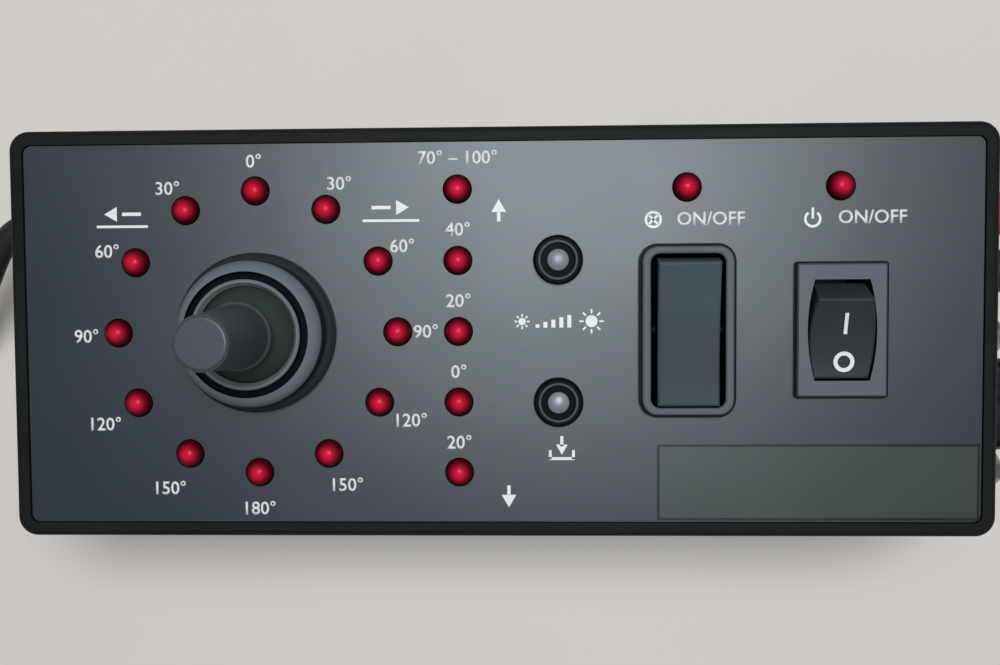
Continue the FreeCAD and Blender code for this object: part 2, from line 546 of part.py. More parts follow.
# Cup that closes the mechanism, with the spring's ledge inside
cup = turned("joystick_base", [
    ("neck_radius", "-neck_length"), ("bore_radius", "-neck_length"),
    ("bore_radius", "pivot_rise - ledge_drop"), ("ledge_radius", "pivot_rise - ledge_drop"),
    ("ledge_radius", "pivot_rise - ledge_drop - ledge_thickness"),
    ("bore_radius", "pivot_rise - ledge_drop - ledge_thickness"),
    ("bore_radius", "-neck_length - cup_depth"), ("0", "-neck_length - cup_depth"),
    ("0", "-neck_length - cup_depth - cup_floor"), ("neck_radius", "-neck_length - cup_depth - cup_floor")])
put(cup, "joystick_x", "line_y", FACE)

# Sensor board on the cup's floor, with its field sensor under the magnet
sensor = new_body("sensor_board")
sensor_outline = draw_on(sensor, "XY_Plane")
circle(sensor_outline, "bore_radius - sensor_gap")
pad(sensor, sensor_outline, "sensor_thickness")
sensor_chip = draw_on(sensor, "XY_Plane", "sensor_thickness")
rectangle(sensor_chip, "sensor_chip", "sensor_chip")
pad(sensor, sensor_chip, "sensor_chip_height")
put(sensor, "joystick_x", "line_y", f"{FACE} - neck_length - cup_depth")

# Gimbal ring with its two trunnions along Y; the stick's cross pin runs in it along X
gimbal = new_body("gimbal_ring")
gimbal_outline = draw_on(gimbal, "XY_Plane")
circle(gimbal_outline, "gimbal_outer")
circle(gimbal_outline, "gimbal_inner")
pad(gimbal, gimbal_outline, "2 * gimbal_half", both=True)
trunnion_holes = draw_on(gimbal, "XZ_Plane")
circle(trunnion_holes, "pin_radius")
cut(gimbal, trunnion_holes, "4 * gimbal_outer", both=True)
cross_holes = draw_on(gimbal, "YZ_Plane")
circle(cross_holes, "pin_radius + pin_slack")
cut(gimbal, cross_holes, "4 * gimbal_outer", both=True)
put(gimbal, "joystick_x", "line_y", PIVOT)
pins = []
for side in (-1, 1):
    pin = document.addObject("Part::Cylinder", "gimbal_pin")
    bind(pin, Radius="pin_radius", Height="pin_reach - pin_start")
    put(pin, "joystick_x", f"line_y + {side} * pin_start", PIVOT, FreeCAD.Vector(-side, 0, 0), "90")
    pins.append(pin)
gimbal_pins = document.addObject("Part::Compound", "gimbal_pins")
gimbal_pins.Label = "gimbal_pins"
gimbal_pins.Links = pins
nodes.append(gimbal_pins)
cross_pin = document.addObject("Part::Cylinder", "cross_pin")
cross_pin.Label = "cross_pin"
bind(cross_pin, Radius="pin_radius", Height="2 * cross_pin_half")
put(cross_pin, "joystick_x - cross_pin_half", "line_y", PIVOT, FreeCAD.Vector(0, 1, 0), "90")
nodes.append(cross_pin)

# Stick shaft: turned steel with a hub for the cross pin and a collar for the spring
shaft = turned("stick_shaft", [
    ("0", "-shaft_foot"), ("shaft_foot_radius", "-shaft_foot"),
    ("shaft_foot_radius", "-collar_top - collar_thickness"),
    ("collar_radius", "-collar_top - collar_thickness"), ("collar_radius", "-collar_top"),
    ("shaft_radius", "-collar_top"), ("hub_radius", "-hub_half"),
    ("hub_radius", "hub_half"), ("shaft_radius", "hub_half + hub_cone"), ("shaft_radius", "shaft_top"),
    ("0", "shaft_top")])
shaft_hole = draw_on(shaft, "YZ_Plane")
circle(shaft_hole, "pin_radius")
cut(shaft, shaft_hole, "4 * hub_radius", both=True)
put(shaft, "joystick_x", "line_y", PIVOT)

# Round shroud that turns with the stick and always fills the opening
inner = "(dome_radius - dome_wall)"
rim = "dome_radius * cos(dome_rim_angle)"
dome = turned("stick_dome", [
    (f"sqrt({inner} ^ 2 - ({rim}) ^ 2)", rim), ("dome_radius * sin(dome_rim_angle)", rim),
    ("shaft_radius", "sqrt(dome_radius ^ 2 - shaft_radius ^ 2)", "dome_radius", 1),
    ("shaft_radius", f"sqrt({inner} ^ 2 - shaft_radius ^ 2)")])
put(dome, "joystick_x", "line_y", PIVOT)

# Knob: tapered grip with a skirt, bored for the shaft
knob = turned("stick_knob", [
    ("shaft_radius", "knob_base"), ("knob_skirt_radius - knob_bevel", "knob_base"),
    ("knob_skirt_radius", "knob_base + knob_bevel"),
    ("knob_skirt_radius", "knob_base + knob_skirt_height - knob_bevel"),
    ("knob_base_radius", "knob_base + knob_skirt_height"), ("knob_tip_radius", "knob_tip - knob_round"),
    ("knob_tip_radius - knob_round", "knob_tip", "knob_round", 1), ("0", "knob_tip"),
    ("0", "shaft_top"), ("shaft_radius", "shaft_top")])
put(knob, "joystick_x", "line_y", PIVOT)

# Magnet on the foot of the shaft
magnet = document.addObject("Part::Cylinder", "stick_magnet")
magnet.Label = "stick_magnet"
bind(magnet, Radius="magnet_radius", Height="magnet_thickness")
put(magnet, "joystick_x", "line_y", f"{PIVOT} - shaft_foot - magnet_thickness")
nodes.append(magnet)


def coiled_spring(label, wire, foot_radius, low, high, pitch, cone="0"):
    """Spring of square wire wound upwards about Z."""
    body = new_body(label)
    drawing = draw_on(body, "XZ_Plane")
    rectangle(drawing, wire, wire, foot_radius, f"{low} + ({wire}) / 2")
    helix = body.newObject("PartDesign::AdditiveHelix", label + "_helix")
    helix.Profile = drawing
    helix.ReferenceAxis = (drawing, ["V_Axis"])
    helix.Mode = "pitch-height-angle"
    bind(helix, Pitch=pitch, Height=f"{high} - ({low}) - ({wire})", Angle=cone)
    return body


# Return spring: conical, from the cup's ledge to the shaft's collar
spring_low = "pivot_rise - ledge_drop + spring_gap"
spring_high = "pivot_rise - collar_top - collar_thickness - spring_gap"
spring_slope = f"-atan((spring_foot_radius - spring_top_radius) / ({spring_high} - ({spring_low})))"
spring = coiled_spring("return_spring", "spring_wire", "spring_foot_radius", spring_low, spring_high,
                       "spring_pitch", spring_slope)
put(spring, "joystick_x", "line_y", FACE)

# Large rocker switch: stepped bezel with a raised lip, box body below the panel
light_body = new_body("light_switch_body")
light_base = draw_on(light_body, "XY_Plane")
rounded(light_base, "light_bezel_width", "light_bezel_length", "light_bezel_corner")
pad(light_body, light_base, "light_step")
light_lip = draw_on(light_body, "XY_Plane", "light_step")
rounded(light_lip, "light_bezel_width - 2 * light_step_width", "light_bezel_length - 2 * light_step_width",
        "light_bezel_corner - light_step_width")
pad(light_body, light_lip, "light_lip_rise - light_step")
light_box = draw_on(light_body, "XY_Plane", "-light_depth")
rounded(light_box, "light_body_width", "light_body_length", "switch_body_corner")
pad(light_body, light_box, "light_depth")
light_hole = draw_on(light_body, "XY_Plane", "light_lip_rise")
rounded(light_hole, "light_opening_width", "light_opening_length", "light_opening_corner")
cut(light_body, light_hole, "light_lip_rise + light_depth - light_floor")
soften(light_body, "light_lip_round", lambda point, way: point.z > size("light_lip_rise") - 0.01)
light_bores = draw_on(light_body, "YZ_Plane")
circle(light_bores, "trunnion_radius + trunnion_slack", "0", "light_lip_rise - light_pivot_depth")
cut(light_body, light_bores, "light_opening_width + 2 * trunnion_bite + 4 * trunnion_slack", both=True)
put(light_body, "light_x", "line_y", FACE)

# Small rocker switch: flat bezel, barrel-shaped opening
power_body = new_body("power_switch_body")
power_base = draw_on(power_body, "XY_Plane")
rounded(power_base, "power_bezel_width", "power_bezel_length", "power_bezel_corner")
pad(power_body, power_base, "power_bezel_rise")
soften(power_body, "power_bezel_chamfer", lambda point, way: point.z > size("power_bezel_rise") - 0.01,
       "PartDesign::Chamfer", "Size")
power_box = draw_on(power_body, "XY_Plane", "-power_depth")
rounded(power_box, "power_body_width", "power_body_length", "switch_body_corner")
pad(power_body, power_box, "power_depth")


def barrel(drawing, end_width, bulge, length):
    """Outline with straight ends and bowed sides."""
    outline(drawing, [
        (f"({end_width}) / 2", f"-({length}) / 2"), (f"({end_width}) / 2", f"({length}) / 2", bulge, 1),
        (f"-({end_width}) / 2", f"({length}) / 2"), (f"-({end_width}) / 2", f"-({length}) / 2", bulge, 1)])


power_hole = draw_on(power_body, "XY_Plane", "power_bezel_rise")
barrel(power_hole, "power_opening_end", "power_opening_bulge", "power_opening_length")
cut(power_body, power_hole, "power_bezel_rise + power_depth - power_floor")
bowed_in = "sqrt(power_opening_bulge ^ 2 - power_opening_length ^ 2 / 4)"
power_middle = f"power_opening_end + 2 * (power_opening_bulge - {bowed_in})"
power_bores = draw_on(power_body, "YZ_Plane")
circle(power_bores, "trunnion_radius + trunnion_slack", "0", "power_bezel_rise - power_pivot_depth")
cut(power_body, power_bores, f"{power_middle} + 2 * trunnion_bite + 4 * trunnion_slack", both=True)
put(power_body, "power_x", "line_y", FACE)


def rocker(label, width, opening, ridge, throw, hollow, keel, keel_depth, trim=None):
    """Rocker about its own pivot: end walls that stay inside the opening over the whole throw, and a
    hollow top between two ridges. It is drawn in its middle position."""
    wall_y = f"(({opening}) / 2 - rocker_gap)"
    half = f"({throw}) / 2"
    ridge_y = f"({wall_y} * cos({half}) - ({ridge}) * sin({half}))"
    ridge_z = f"({wall_y} * sin({half}) + ({ridge}) * cos({half}))"
    foot_y = f"({wall_y} * cos({half}) + rocker_skirt * sin({half}))"
    foot_z = f"({wall_y} * sin({half}) - rocker_skirt * cos({half}))"
    body = new_body(label)
    profile = draw_on(body, "YZ_Plane")
    outline(profile, [
        (f"-({keel})", f"-({keel_depth})"), (keel, f"-({keel_depth})"), (foot_y, foot_z), (ridge_y, ridge_z),
        (f"-{ridge_y}", ridge_z, hollow, -1), (f"-{foot_y}", foot_z)])
    pad(body, profile, width, both=True)
    if trim:
        frame = draw_on(body, "XY_Plane")
        rectangle(frame, f"2 * ({width})", f"2 * ({opening})")
        barrel(frame, *trim)
        cut(body, frame, f"4 * ({opening})", both=True)
    soften(body, "rocker_round", lambda point, way: point.z > size(f"{ridge_z} - rocker_top_band") and (
        abs(way.x) > 0.5 and point.z > size(ridge_z) - 0.01 or abs(way.x) < 0.5 and abs(way.z) < 0.3))
    stubs = draw_on(body, "YZ_Plane")
    circle(stubs, "trunnion_radius")
    return body, stubs


light_rocker, light_stubs = rocker(
    "light_rocker", "light_rocker_width", "light_opening_length", "light_ridge", "light_throw",
    "light_hollow", "light_keel", "light_keel_depth")
pad(light_rocker, light_stubs, "light_opening_width + 2 * trunnion_bite", both=True)
put(light_rocker, "light_x", "line_y", f"{FACE} + light_lip_rise - light_pivot_depth",
    FreeCAD.Vector(1, 0, 0), "light_throw / 2")
power_rocker, power_stubs = rocker(
    "power_rocker", power_middle, "power_opening_length", "power_ridge", "power_throw", "power_hollow",
    "power_keel", "power_keel_depth", ("power_rocker_end", "power_rocker_bulge", "power_opening_length"))
pad(power_rocker, power_stubs, f"{power_middle} + 2 * trunnion_bite", both=True)
put(power_rocker, "power_x", "line_y", f"{FACE} + power_bezel_rise - power_pivot_depth",
    FreeCAD.Vector(1, 0, 0), "power_throw / 2")

# Blade terminals below both switches
light_tab = box("light_tab", "tab_width", "tab_thickness", "tab_length", "0", "0", "0", kept=False)
copies("light_switch_tabs", light_tab, [
    ("light_x", f"line_y + {step} * tab_pitch", f"{FACE} - light_depth - tab_length", 0)
    for step in (-1, 0, 1)])
power_tab = box("power_tab", "power_tab_width", "tab_thickness", "tab_length", "0", "0", "0", kept=False)
copies("power_switch_tabs", power_tab, [
    ("power_x", f"line_y + {step} * power_tab_pitch", f"{FACE} - power_depth - tab_length", 0)
    for step in (-1, 0, 1)])

# Push buttons: bush with a dished rim, sprung plunger, nut behind the panel, two solder pins
for name, place in zip(("brightness", "memory"), button_places):
    bush = turned(f"{name}_button_body", [
        ("button_thread_radius", "-button_depth"), ("button_thread_radius", "0"), ("button_rim_radius", "0"),
        ("button_rim_radius", "button_rim_height - button_rim_bevel"),
        ("button_rim_radius - button_rim_bevel", "button_rim_height"),
        ("button_dish_radius", "button_rim_height"),
        ("button_dish_radius", "button_rim_height - button_dish_depth"),
        ("plunger_radius + plunger_slack", "button_rim_height - button_dish_depth"),
        ("plunger_radius + plunger_slack", "-button_chamber_top"),
        ("button_chamber_radius", "-button_chamber_top"), ("button_chamber_radius", "-button_chamber_floor"),
        ("0", "-button_chamber_floor"), ("0", "-button_depth")])
    put(bush, *place, FACE)
    plunger = turned(f"{name}_plunger", [
        ("0", "-button_chamber_top - plunger_slack - plunger_foot"),
        ("plunger_foot_radius", "-button_chamber_top - plunger_slack - plunger_foot"),
        ("plunger_foot_radius", "-button_chamber_top - plunger_slack"),
        ("plunger_radius", "-button_chamber_top - plunger_slack"),
        ("plunger_radius", "plunger_top - plunger_crown"),
        ("0", "plunger_top", "(plunger_radius ^ 2 + plunger_crown ^ 2) / (2 * plunger_crown)", 1)])
    put(plunger, *place, FACE)
    button_spring = coiled_spring(
        f"{name}_spring", "button_spring_wire", "button_spring_radius", "-button_chamber_floor + spring_gap",
        "-button_chamber_top - plunger_slack - plunger_foot - spring_gap", "button_spring_pitch")
    put(button_spring, *place, FACE)
button_nut = new_body("button_nut", kept=False)
button_nut_outline = draw_on(button_nut, "XY_Plane")
hexagon(button_nut_outline, "button_nut_flats")
circle(button_nut_outline, "button_thread_radius + thread_slack")
pad(button_nut, button_nut_outline, "button_nut_thickness")
copies("button_nuts", button_nut, [(x, y, f"{UNDER} - button_nut_thickness", 0) for x, y in button_places])
button_pin = box("button_pin", "button_pin_thickness", "button_pin_width", "button_pin_length",
                 "0", "0", "0", kept=False)
copies("button_pins", button_pin, [
    (f"{x} + {side} * button_pin_spacing / 2", y, f"{FACE} - button_depth - button_pin_length", 0)
    for x, y in button_places for side in (-1, 1)])

# Two insulated 4 mm sockets in the right wall
for label, y in (("red_socket", "red_y"), ("black_socket", "black_y")):
    socket = turned(label, [
        ("0", "-socket_tail"), ("socket_thread", "-socket_tail"), ("socket_thread", "0"),
        ("socket_collar", "0"), ("socket_collar", "socket_reach - socket_bevel"),
        ("socket_collar - socket_bevel", "socket_reach"), ("socket_bore", "socket_reach"),
        ("socket_bore", "-socket_bore_depth"), ("0", "-socket_bore_depth")])
    put(socket, "case_length / 2", y, "side_z", FreeCAD.Vector(0, 1, 0), "90")
socket_nuts = new_body("socket_nuts")
socket_nuts.AllowCompound = True
socket_nut_outline = draw_on(socket_nuts, "YZ_Plane", "case_length / 2 - wall - socket_nut_thickness")
for y in ("red_y", "black_y"):
    hexagon(socket_nut_outline, "socket_nut_flats", y, "side_z")
    circle(socket_nut_outline, "socket_thread + thread_slack", y, "side_z")
pad(socket_nuts, socket_nut_outline, "socket_nut_thickness")


def dee(drawing, trim="0"):
    """D-shaped outline of the data socket, drawn in by a trim."""
    wide, narrow = f"(data_shell_length / 2 - {trim})", f"(data_shell_length / 2 - data_shell_slant - {trim})"
    tall = f"(data_shell_height / 2 - {trim})"
    outline(drawing, [(f"data_y - {narrow}", f"side_z - {tall}"), (f"data_y + {narrow}", f"side_z - {tall}"),
                      (f"data_y + {wide}", f"side_z + {tall}"), (f"data_y - {wide}", f"side_z + {tall}")])


def long_edges(point, way):
    """Edges that run along X, which are a D-shaped outline's corners."""
    return abs(way.x) > 0.99


# Data socket: pressed flange with a D-shaped shell, a moulded insert and two hexagon posts
data_shell = new_body("data_socket")
shell_outline = draw_on(data_shell, "YZ_Plane", "case_length / 2")
dee(shell_outline)
pad(data_shell, shell_outline, "data_shell_reach")
soften(data_shell, "data_shell_corner", long_edges)
data_flange = draw_on(data_shell, "YZ_Plane", "case_length / 2")
rounded(data_flange, "data_flange_length", "data_flange_height", "data_flange_corner", "data_y", "side_z")
pad(data_shell, data_flange, "data_flange_thickness")
insert = new_body("data_insert")
insert_front = draw_on(insert, "YZ_Plane", "case_length / 2 - data_insert_tail")
dee(insert_front, "(data_shell_wall + data_insert_gap)")
pad(insert, insert_front, "data_insert_tail + data_shell_reach - data_insert_recess")
soften(insert, "data_shell_corner - data_shell_wall", long_edges)
shell_room = draw_on(data_shell, "YZ_Plane", "case_length / 2")
for y, z in jack_places:
    circle(shell_room, "jack_shank + hole_slack", y, z)
cut(data_shell, shell_room, "data_flange_thickness", along=True)
room = new_body("data_room", kept=False)
room_outline = draw_on(room, "YZ_Plane", "case_length / 2 - data_room_margin")
dee(room_outline, "data_shell_wall")
pad(room, room_outline, "data_shell_reach + 2 * data_room_margin")
soften(room, "data_shell_corner - data_shell_wall", long_edges)
contacts = draw_on(insert, "YZ_Plane", "case_length / 2 + data_shell_reach - data_insert_recess")
for step in range(5):
    circle(contacts, "contact_radius", f"data_y + {step - 2} * contact_pitch", "side_z + contact_row / 2")
for step in range(4):
    circle(contacts, "contact_radius", f"data_y + {step - 1.5} * contact_pitch", "side_z - contact_row / 2")
cut(insert, contacts, "contact_depth")
nodes.remove(data_shell)
data_shell.Label = "data_socket_blank"
data_socket = document.addObject("Part::Cut", "data_socket_pressed")
data_socket.Label = "data_socket"
data_socket.Base = data_shell
data_socket.Tool = room
nodes.append(data_socket)
jacks = new_body("jack_posts")
jacks.AllowCompound = True
jack_heads = draw_on(jacks, "YZ_Plane", "case_length / 2 + data_flange_thickness")
for y, z in jack_places:
    hexagon(jack_heads, "jack_flats", y, z)
pad(jacks, jack_heads, "jack_reach")
jack_shanks = draw_on(jacks, "YZ_Plane", "case_length / 2 - jack_tail")
for y, z in jack_places:
    circle(jack_shanks, "jack_shank", y, z)
pad(jacks, jack_shanks, "jack_tail + data_flange_thickness")
jack_bores = draw_on(jacks, "YZ_Plane", "case_length / 2 + data_flange_thickness + jack_reach")
for y, z in jack_places:
    circle(jack_bores, "jack_bore", y, z)
cut(jacks, jack_bores, "jack_bore_depth")

# Cable gland in the left wall and its nut
gland = turned("cable_gland", [
    ("0", "-gland_tail"), ("gland_thread", "-gland_tail"), ("gland_thread", "0"),
    ("gland_flange_radius", "0"), ("gland_flange_radius", "gland_flange"),
    ("gland_root_radius", "gland_flange"),
    ("gland_mouth_radius", "gland_reach"), ("0", "gland_reach")])
put(gland, "-case_length / 2", "gland_y", "gland_z", FreeCAD.Vector(0, 1, 0), "-90")
gland_nut = new_body("gland_nut")
gland_nut_outline = draw_on(gland_nut, "YZ_Plane", "wall - case_length / 2")
hexagon(gland_nut_outline, "gland_nut_flats", "gland_y", "gland_z")
circle(gland_nut_outline, "gland_thread + thread_slack", "gland_y", "gland_z")
pad(gland_nut, gland_nut_outline, "gland_nut_thickness")


def tube(label, route):
    """Round cable along straight runs that are joined by tangent arcs."""
    points = [FreeCAD.Vector(*point) for point in route]
    radius = size("cable_diameter") / 2
    edges, last, radii = [], points[0], []
    for before, corner, after in zip(points, points[1:], points[2:]):
        arrive, leave = corner - before, after - corner
        turn = arrive.getAngle(leave)
        bend = 0.45 * min(arrive.Length, leave.Length) / math.tan(turn / 2)
        reach = bend * math.tan(turn / 2)
        start = corner - arrive.normalize() * reach
        stop = corner + leave.normalize() * reach
        inward = (start + stop) * 0.5 - corner
        middle = corner + inward.normalize() * (math.hypot(bend, reach) - bend)
        edges.append(Part.LineSegment(last, start).toShape())
        edges.append(Part.Arc(start, middle, stop).toShape())
        last = stop
        radii.append(round(bend, 1))
    edges.append(Part.LineSegment(last, points[-1]).toShape())
    path = Part.Wire(edges)
    ring = Part.Wire(Part.makeCircle(radius, points[0], points[1] - points[0]))
    item = document.addObject("Part::Feature", label)
    item.Label = label
    item.Shape = path.makePipeShell([ring], True, False)
    nodes.append(item)
    expected = math.pi * radius ** 2 * path.Length
    print(label, "length", round(path.Length, 1), "radii", radii)
    print(label, "volume share", round(item.Shape.Volume / expected, 4))


# Cable: from the gland down to the floor, into its coil, and out again to the plug
mouth = size("-case_length / 2 - gland_reach")
leave = size("gland_y")
tube("cable_run", [
    (mouth, leave, size("gland_z")), (mouth - 7.0, leave - 0.8, 19.7), (mouth - 13.6, leave - 4.2, 18.1),
    (mouth - 19.5, leave - 10.6, 14.6), (mouth - 24.2, leave - 19.3, 9.6), (mouth - 28.0, leave - 28.7, 5.2),
    (mouth - 30.7, leave - 38.5, 3.0), (mouth - 31.6, leave - 47.5, 2.6)])
coil = turned("cable_coil", [
    ("coil_radius - coil_width / 2", "0"), ("coil_radius + coil_width / 2 - coil_corner", "0"),
    ("coil_radius + coil_width / 2", "coil_corner", "coil_corner", 1),
    ("coil_radius + coil_width / 2", "coil_height - coil_corner"),
    ("coil_radius + coil_width / 2 - coil_corner", "coil_height", "coil_corner", 1),
    ("coil_radius - coil_width / 2 + coil_corner", "coil_height"),
    ("coil_radius - coil_width / 2", "coil_height - coil_corner", "coil_corner", 1)])
put(coil, "coil_x", "coil_y", "0")
end = FreeCAD.Vector(size("plug_x"), size("plug_y"), size("plug_radius"))
tube("cable_tail", [
    (end.x + 4.5, end.y - 34.0, 17.5), (end.x + 4.5, end.y - 27.2, 17.5), (end.x + 3.5, end.y - 20.5, 15.0),
    (end.x + 1.0, end.y - 13.5, 8.5), (end.x, end.y - 6.8, end.z), (end.x, end.y, end.z)])

# Plug: tapered sleeve, metal shell with an open end, and its contact pins
along_y = FreeCAD.Vector(-1, 0, 0)
sleeve = turned("plug_sleeve", [
    ("0", "0"), ("sleeve_mouth", "0"), ("sleeve_radius", "sleeve_length"), ("0", "sleeve_length")])
put(sleeve, "plug_x", "plug_y", "plug_radius", along_y, "90")
plug = turned("cable_plug", [
    ("0", "0"), ("plug_radius - plug_bevel", "0"), ("plug_radius", "plug_bevel"),
    ("plug_radius", "plug_length - plug_bevel"), ("plug_radius - plug_bevel", "plug_length"),
    ("plug_radius - plug_wall", "plug_length"), ("plug_radius - plug_wall", "plug_length - plug_throat"),
    ("0", "plug_length - plug_throat")])
put(plug, "plug_x", "plug_y + sleeve_length", "plug_radius", along_y, "90")
plug_pins = new_body("plug_pins")
plug_pins.AllowCompound = True
pin_ring = draw_on(plug_pins, "XY_Plane", "sleeve_length + plug_length - plug_throat")
for step in range(5):
    circle(pin_ring, "plug_pin_radius", f"plug_pin_circle * sin({60 * (step - 2)})",
           f"plug_pin_circle * cos({60 * (step - 2)})")
pad(plug_pins, pin_ring, "plug_pin_length")
put(plug_pins, "plug_x", "plug_y", "plug_radius", along_y, "90")

for item in document.Objects:
    item.touch()
document.recompute()
for item in document.Objects:
    if "Invalid" in item.State or "Error" in item.State:
        raise RuntimeError(item.Label + " did not build")
os.makedirs("parts", exist_ok=True)
for node in nodes:
    if node.Shape.isNull() or not node.Shape.isValid() or not node.Shape.Solids:
        raise RuntimeError(node.Label + " has no sound shape")
    node.Shape.exportStep(f"parts/{node.Label}.step")
print(len(nodes), "nodes written")
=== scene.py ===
import bpy
import math
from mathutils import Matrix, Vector


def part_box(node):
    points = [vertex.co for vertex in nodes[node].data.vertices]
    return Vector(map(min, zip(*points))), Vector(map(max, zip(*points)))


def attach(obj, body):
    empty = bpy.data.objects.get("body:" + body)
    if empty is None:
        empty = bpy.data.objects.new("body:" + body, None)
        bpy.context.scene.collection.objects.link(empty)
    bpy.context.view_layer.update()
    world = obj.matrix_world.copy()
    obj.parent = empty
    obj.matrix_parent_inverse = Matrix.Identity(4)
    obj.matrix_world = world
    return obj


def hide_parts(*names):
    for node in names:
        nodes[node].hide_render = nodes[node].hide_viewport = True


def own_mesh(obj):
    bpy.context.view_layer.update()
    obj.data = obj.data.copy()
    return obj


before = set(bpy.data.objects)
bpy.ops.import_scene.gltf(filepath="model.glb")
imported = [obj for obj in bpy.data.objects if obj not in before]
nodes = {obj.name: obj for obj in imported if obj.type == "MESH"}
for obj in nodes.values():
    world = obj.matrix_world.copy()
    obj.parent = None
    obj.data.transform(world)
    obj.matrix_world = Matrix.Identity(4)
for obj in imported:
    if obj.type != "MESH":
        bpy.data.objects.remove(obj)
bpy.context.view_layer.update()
bpy.ops.object.select_all(action="DESELECT")
mm = 0.001

# Table top. A plain pale painted board that the box lies on, wide enough for every view, with the
# faint cloudiness of a rolled paint.
table_side = 24
bpy.ops.mesh.primitive_plane_add(size=table_side, location=(0, 0, 0))
table = bpy.context.object
table.name = "table_top"
painted_board = bpy.data.materials.new("painted_board")
painted_board.use_nodes = True
tree = painted_board.node_tree
shader = tree.nodes["Principled BSDF"]
shader.inputs["Roughness"].default_value = 0.7
place = tree.nodes.new("ShaderNodeTexCoord")
clouds = tree.nodes.new("ShaderNodeTexNoise")
clouds.inputs["Scale"].default_value = 9
clouds.inputs["Detail"].default_value = 3
tints = tree.nodes.new("ShaderNodeValToRGB")
tints.color_ramp.elements[0].color = (0.632, 0.586, 0.546, 1)
tints.color_ramp.elements[1].color = (0.680, 0.638, 0.600, 1)
tree.links.new(place.outputs["Object"], clouds.inputs["Vector"])
tree.links.new(clouds.outputs["Fac"], tints.inputs["Fac"])
tree.links.new(tints.outputs["Color"], shader.inputs["Base Color"])
table.data.materials.append(painted_board)

# Camera. It looks almost straight down on the face panel, from a little to the right of the middle and a
# little beyond it.
camera_spot = (7.52 * mm, 9.77 * mm, 244.45 * mm)
camera_turn = [math.radians(turn) for turn in (-2.785, 2.052, -0.370)]
bpy.ops.object.camera_add(location=camera_spot, rotation=camera_turn)
camera = bpy.context.object
camera.data.lens = 40.9
camera.data.sensor_width = 36
camera.data.clip_start = 0.01
bpy.context.scene.camera = camera


# Lights. A broad cool panel above the face puts the sheen on it. A very soft sun from the far right throws
# the shadows and is kept out of reflections, and the room fills in the rest.
def aimed(light, spot):
    """Turn the light towards the middle of the face panel."""
    panel_middle = Vector((0, 0, 40 * mm))
    light.rotation_euler = (panel_middle - Vector(spot)).to_track_quat("-Z", "Y").to_euler()


panel_spot = (0.023, 0.096, 0.62)
bpy.ops.object.light_add(type="AREA", location=panel_spot)
sheen_panel = bpy.context.object
sheen_panel.name = "sheen_panel"
sheen_panel.data.shape = "DISK"
sheen_panel.data.size = 0.32
sheen_panel.data.energy = 1.9
sheen_panel.data.color = (0.87, 0.95, 1.0)
aimed(sheen_panel, panel_spot)
sun_spot = (0.2185, 0.26, 1.086)
bpy.ops.object.light_add(type="SUN", location=sun_spot)
soft_sun = bpy.context.object
soft_sun.name = "soft_sun"
soft_sun.data.energy = 1.74
soft_sun.data.angle = math.radians(36)
soft_sun.data.color = (1.0, 0.98, 0.95)
soft_sun.visible_glossy = False
aimed(soft_sun, sun_spot)
room = bpy.data.worlds.new("room")
bpy.context.scene.world = room
room.use_nodes = True
room_light = room.node_tree.nodes["Background"]
room_light.inputs["Color"].default_value = (0.86, 0.94, 1.0, 1)
room_light.inputs["Strength"].default_value = 0.07
bpy.context.scene.view_settings.view_transform = "Standard"


# Surface grain. Every piece has a fine grain of one kind, strongest on mouldings and faint on metal, film
# and ink: small relief, patches that are a little duller than others, and a rubbed shade in those patches.
def group_sockets(group, direction, **kinds):
    for name, kind in kinds.items():
        group.interface.new_socket(name=name, in_out=direction, socket_type="NodeSocket" + kind)


mould_grain = bpy.data.node_groups.new("mould_grain", "ShaderNodeTree")
group_sockets(mould_grain, "INPUT", Colour="Color", Rubbed="Color", Grain="Float", Patch="Float",
              Depth="Float", Smooth="Float", Dull="Float")
group_sockets(mould_grain, "OUTPUT", Colour="Color", Roughness="Float", Normal="Vector")
given = mould_grain.nodes.new("NodeGroupInput")
result = mould_grain.nodes.new("NodeGroupOutput")
place = mould_grain.nodes.new("ShaderNodeTexCoord")
patches = mould_grain.nodes.new("ShaderNodeTexNoise")
patches.inputs["Detail"].default_value = 4
grain = mould_grain.nodes.new("ShaderNodeTexNoise")
grain.inputs["Detail"].default_value = 2
blend = mould_grain.nodes.new("ShaderNodeMix")
blend.data_type = "RGBA"
dulling = mould_grain.nodes.new("ShaderNodeMapRange")
dulling.inputs["From Min"].default_value = 0.35
dulling.inputs["From Max"].default_value = 0.65
relief = mould_grain.nodes.new("ShaderNodeBump")
relief.inputs["Distance"].default_value = 0.1 * mm
for start, end in (
        (place.outputs["Object"], patches.inputs["Vector"]),
        (given.outputs["Patch"], patches.inputs["Scale"]),
        (place.outputs["Object"], grain.inputs["Vector"]),
        (given.outputs["Grain"], grain.inputs["Scale"]),
        (patches.outputs["Fac"], blend.inputs["Factor"]),
        (given.outputs["Colour"], blend.inputs["A"]),
        (given.outputs["Rubbed"], blend.inputs["B"]),
        (patches.outputs["Fac"], dulling.inputs["Value"]),
        (given.outputs["Smooth"], dulling.inputs["To Min"]),
        (given.outputs["Dull"], dulling.inputs["To Max"]),
        (grain.outputs["Fac"], relief.inputs["Height"]),
        (given.outputs["Depth"], relief.inputs["Strength"]),
        (blend.outputs["Result"], result.inputs["Colour"]),
        (dulling.outputs["Result"], result.inputs["Roughness"]),
        (relief.outputs["Normal"], result.inputs["Normal"])):
    mould_grain.links.new(start, end)


